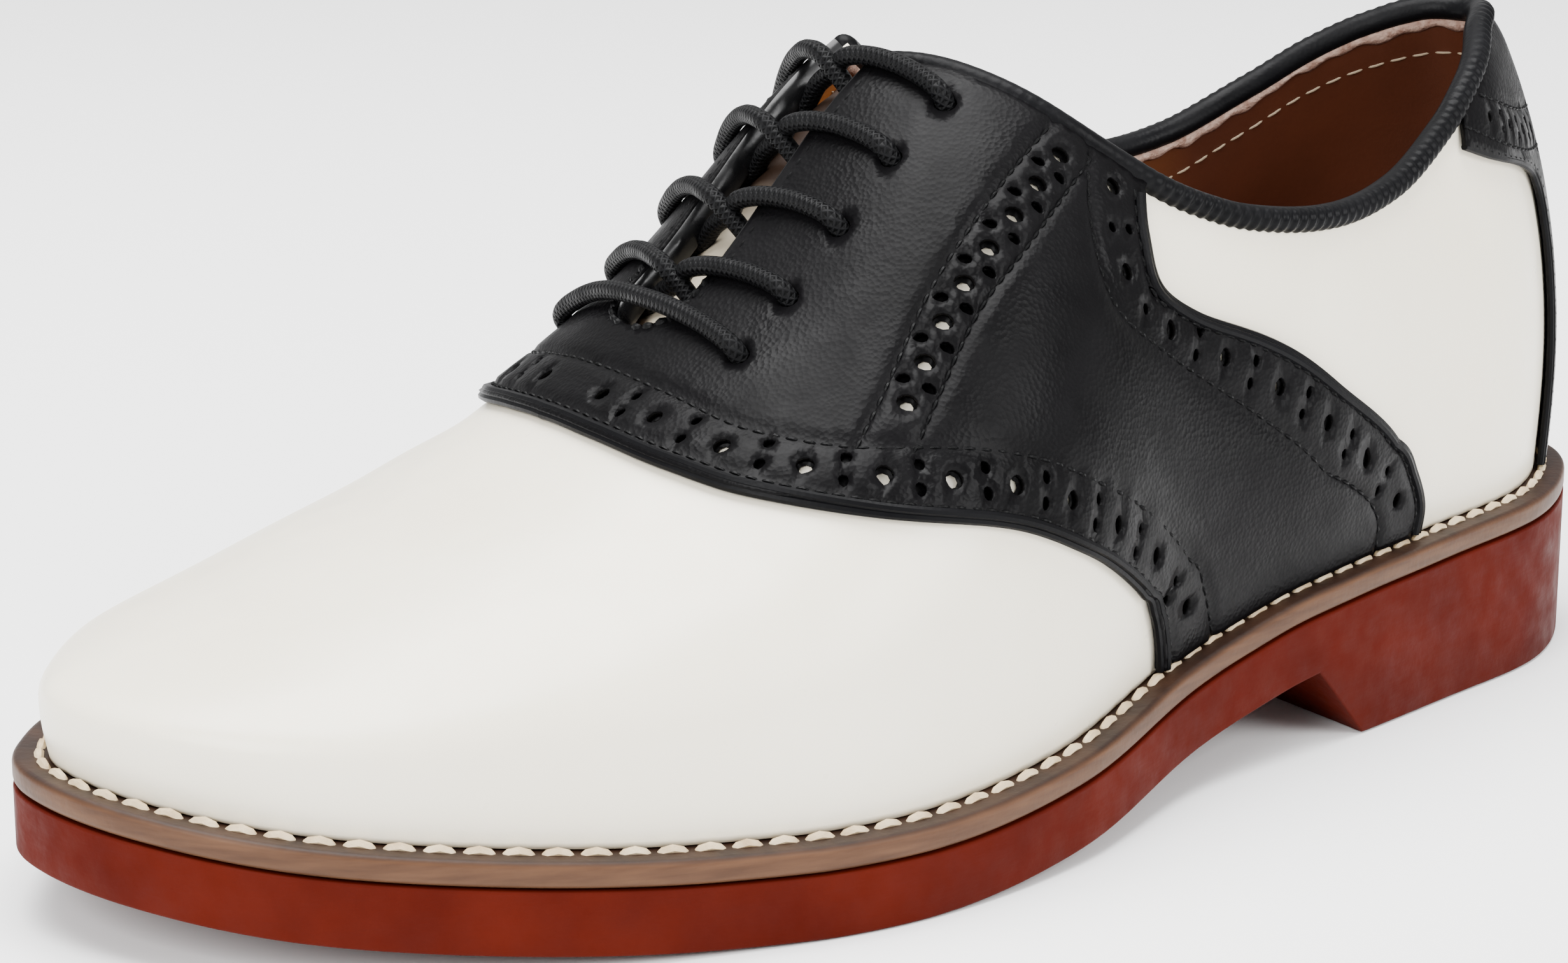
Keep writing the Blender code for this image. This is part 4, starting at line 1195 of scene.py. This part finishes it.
# Tongue
# A padded leaf of cream leather under the facings, pressed down a little by the laces.
# Its colour turns dark towards its top: painted shade for the shadow in the gap.
TONGUE = 2.4 * MM
TONGUE_HALF = 25 * MM
TONGUE_TOP = 0.508
TONGUE_FOOT = 0.690
TONGUE_DEEP = 4.4 * MM
leaf_share, leaf_across = np.meshgrid(np.linspace(TONGUE_TOP, TONGUE_FOOT, 110), np.linspace(-1, 1, 61),
                                      indexing="ij")
corner = np.clip((leaf_share - TONGUE_TOP) / 0.02, 0, 1)
leaf_wide = TONGUE_HALF * (0.72 + 0.28 * np.sqrt(1 - (1 - corner) ** 2))
leaf_turn, leaf_t = ridge_spot(leaf_share.ravel(), (leaf_across * leaf_wide).ravel())
flat_share = leaf_share.ravel()
pressed = np.cos(flat_share * 2 * math.pi / 0.034) * np.exp(-(leaf_across.ravel() / 0.5) ** 2)
foot_deep = WALL + CLEAR + 0.2 * MM + np.clip((TONGUE_FOOT - flat_share) / 0.03, 0, 1) * 4 * MM
sag = np.minimum(TONGUE_DEEP + 0.5 * MM * pressed, foot_deep)
# The second, dark colour towards the tongue's top is painted shade, not the leather's own colour.
tongue_painted_shade_leather = tan_leather("cream tongue leather with painted shade", (0.62, 0.55, 0.42), (0.020, 0.009, 0.004),
                             -0.026, 0.3)
tongue = piece("padded_tongue", place(on_last(leaf_turn, leaf_t, -sag)), loft(110, 61), tongue_painted_shade_leather,
               "white_leather", "tongue", smooth=60)
thicken(tongue, TONGUE, -1)


# Laces
# One round waxed cord, braided, 3.2 millimetres thick. A straight bar joins the lowest
# eyelets, and from there both ends run crosswise, each out of the gap under one facing,
# over the other and down through the next eyelet. They end inside at the top pair.
LACE_RADIUS = 1.6 * MM
CROSS_DROP = 0.017
LACE_SIDES = 16
eye = EYELET_REACH - LACE_RADIUS
rest = PANEL_LIFT + LEATHER + CLEAR + LACE_RADIUS


def strand(row, before, to_side, over):
    """Waypoints of a strand: share of the length, distance across, height off the last, flatness."""
    d = CROSS_DROP
    h1, h0, h2 = (0.2, 3.7, 4.1) if over else (-1.2, 0.3, 3.2)
    return [
        (before, -to_side * (eye - 0.6 * MM), -3.1 * MM, 0.6),
        (before - 0.004, -to_side * 19 * MM, -3.2 * MM, 0.6),
        (row + 1.55 * d, -to_side * 12 * MM, -3.2 * MM, 0.6),
        (row + 1.4 * d, -to_side * 8.2 * MM, -2.9 * MM, 0.7),
        (row + 1.2 * d, -to_side * 4.6 * MM, h1 * MM, 1.0),
        (row + 1.0 * d, 0.0, h0 * MM, 1.0),
        (row + 0.8 * d, to_side * 4.2 * MM, h2 * MM, 1.0),
        (row + 0.55 * d, to_side * 8.8 * MM, rest + 0.1 * MM, 1.0),
        (row + 0.3 * d, to_side * 14.5 * MM, rest + 0.1 * MM, 1.0),
        (row + 0.1 * d, to_side * 20.5 * MM, rest, 1.0),
        (row, to_side * (eye - 1.7 * MM), rest - 0.4 * MM, 1.0),
        (row, to_side * eye, 1.1 * MM, 0.95),
        (row, to_side * (eye + 0.2 * MM), -1.4 * MM, 0.85),
    ]


bar = [
    (EYELETS[0], -(eye + 0.2 * MM), -1.4 * MM, 0.85),
    (EYELETS[0], -eye, 1.1 * MM, 0.95),
    (EYELETS[0], -(eye - 1.5 * MM), rest - 0.2 * MM, 1.0),
    (EYELETS[0], -18 * MM, rest + 0.2 * MM, 1.0),
    (EYELETS[0] + 0.001, -9 * MM, rest + 0.5 * MM, 1.0),
    (EYELETS[0] + 0.002, 0.0, rest + 0.6 * MM, 1.0),
]
bar = bar + [(share, -across, height, flat) for share, across, height, flat in bar[-2::-1]]
near_end = []
far_end = []
for k in range(1, 5):
    side = 1 if k % 2 == 0 else -1
    near_end += strand(EYELETS[k], EYELETS[k - 1], side, side < 0)
    far_end += strand(EYELETS[k], EYELETS[k - 1], -side, side > 0)
lace_route = np.array(far_end[::-1] + bar + near_end)
steps = np.arange(len(lace_route), dtype=float)
fine = np.linspace(0, steps[-1], len(lace_route) * 9)
table = np.column_stack([steps, lace_route])
share, across, height, flat = [read(table, fine, k) for k in (1, 2, 3, 4)]
turn, t = ridge_spot(share, across)
lace_path = on_last(turn, t, height)
lace_along = unit(np.gradient(lace_path, axis=0))
lace_side = unit(np.cross(lace_along, (1.0, 0.0, 0.0)))
lace_over = np.cross(lace_side, lace_along)
angle = ring_angles(LACE_SIDES)
flatter = (flat[:, None] * np.sin(angle)[None])[..., None]
ring = np.cos(angle)[None, :, None] * lace_over[:, None] + flatter * lace_side[:, None]
lace_points = lace_path[:, None] + LACE_RADIUS * ring

cord_nodes = finish_nodes("black waxed cord", (0.003, 0.003, 0.0034), 0.5)
made, shader, where = cord_nodes
coordinates = add(shader, "UVMap")
coordinates.uv_map = "cord"
parts = add(shader, "SeparateXYZ", Vector=coordinates.outputs["UV"])


def arithmetic(operation, *values):
    """Result of one sum, its first value a socket."""
    node = add(values[0], "Math")
    node.operation = operation
    for socket, value in zip(node.inputs, values):
        feed(socket, value)
    return node.outputs["Value"]


def slanted(round_it, along_it):
    """Sine of a whole number of turns round the cord plus a number of turns along it."""
    first = arithmetic("MULTIPLY", parts.outputs["X"], round_it * 2 * math.pi)
    return arithmetic("SINE", arithmetic("MULTIPLY_ADD", parts.outputs["Y"], along_it * 2 * math.pi, first))


braid = arithmetic("MAXIMUM", slanted(6, 900), slanted(-6, 900))
bump(shader, braid, 0.00010)
# Painted shade: the colour is darker in the grooves between the braid's strands and lighter on their crests,
# following the bump.
groove_shaded_cord_colour = two_colours(braid, (0.0010, 0.0010, 0.0012), (0.0036, 0.0036, 0.0041), 0.1, 0.95)
fill(shader, Base_Color=groove_shaded_cord_colour)
lace_cord = dress(cord_nodes, gloss=((260, 4), 0.36, 0.6), Specular_IOR_Level=0.08)
lace = piece("laces", place(lace_points), turned(tube(len(fine), LACE_SIDES)), lace_cord, "lace_cord")
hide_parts("lace_bar_1", "lace_cross_2", "lace_cross_3", "lace_cross_4", "lace_cross_5")
length = run_along(lace_path)
cord_uv = lace.data.uv_layers.new(name="cord")
corners = np.empty(len(lace.data.loops), int)
lace.data.loops.foreach_get("vertex_index", corners)
around_it = (corners % LACE_SIDES) / LACE_SIDES
spread_uv = pairs(around_it, length[np.clip(corners // LACE_SIDES, 0, len(length) - 1)])
face_of = np.repeat(np.arange(len(lace.data.polygons)), [len(p.vertices) for p in lace.data.polygons])
low = np.full(len(lace.data.polygons), 2.0)
np.minimum.at(low, face_of, spread_uv[:, 0])
high = np.zeros(len(low))
np.maximum.at(high, face_of, spread_uv[:, 0])
seam = (high - low)[face_of] > 0.5
spread_uv[seam & (spread_uv[:, 0] < 0.5), 0] += 1.0
cord_uv.data.foreach_set("uv", spread_uv.ravel())
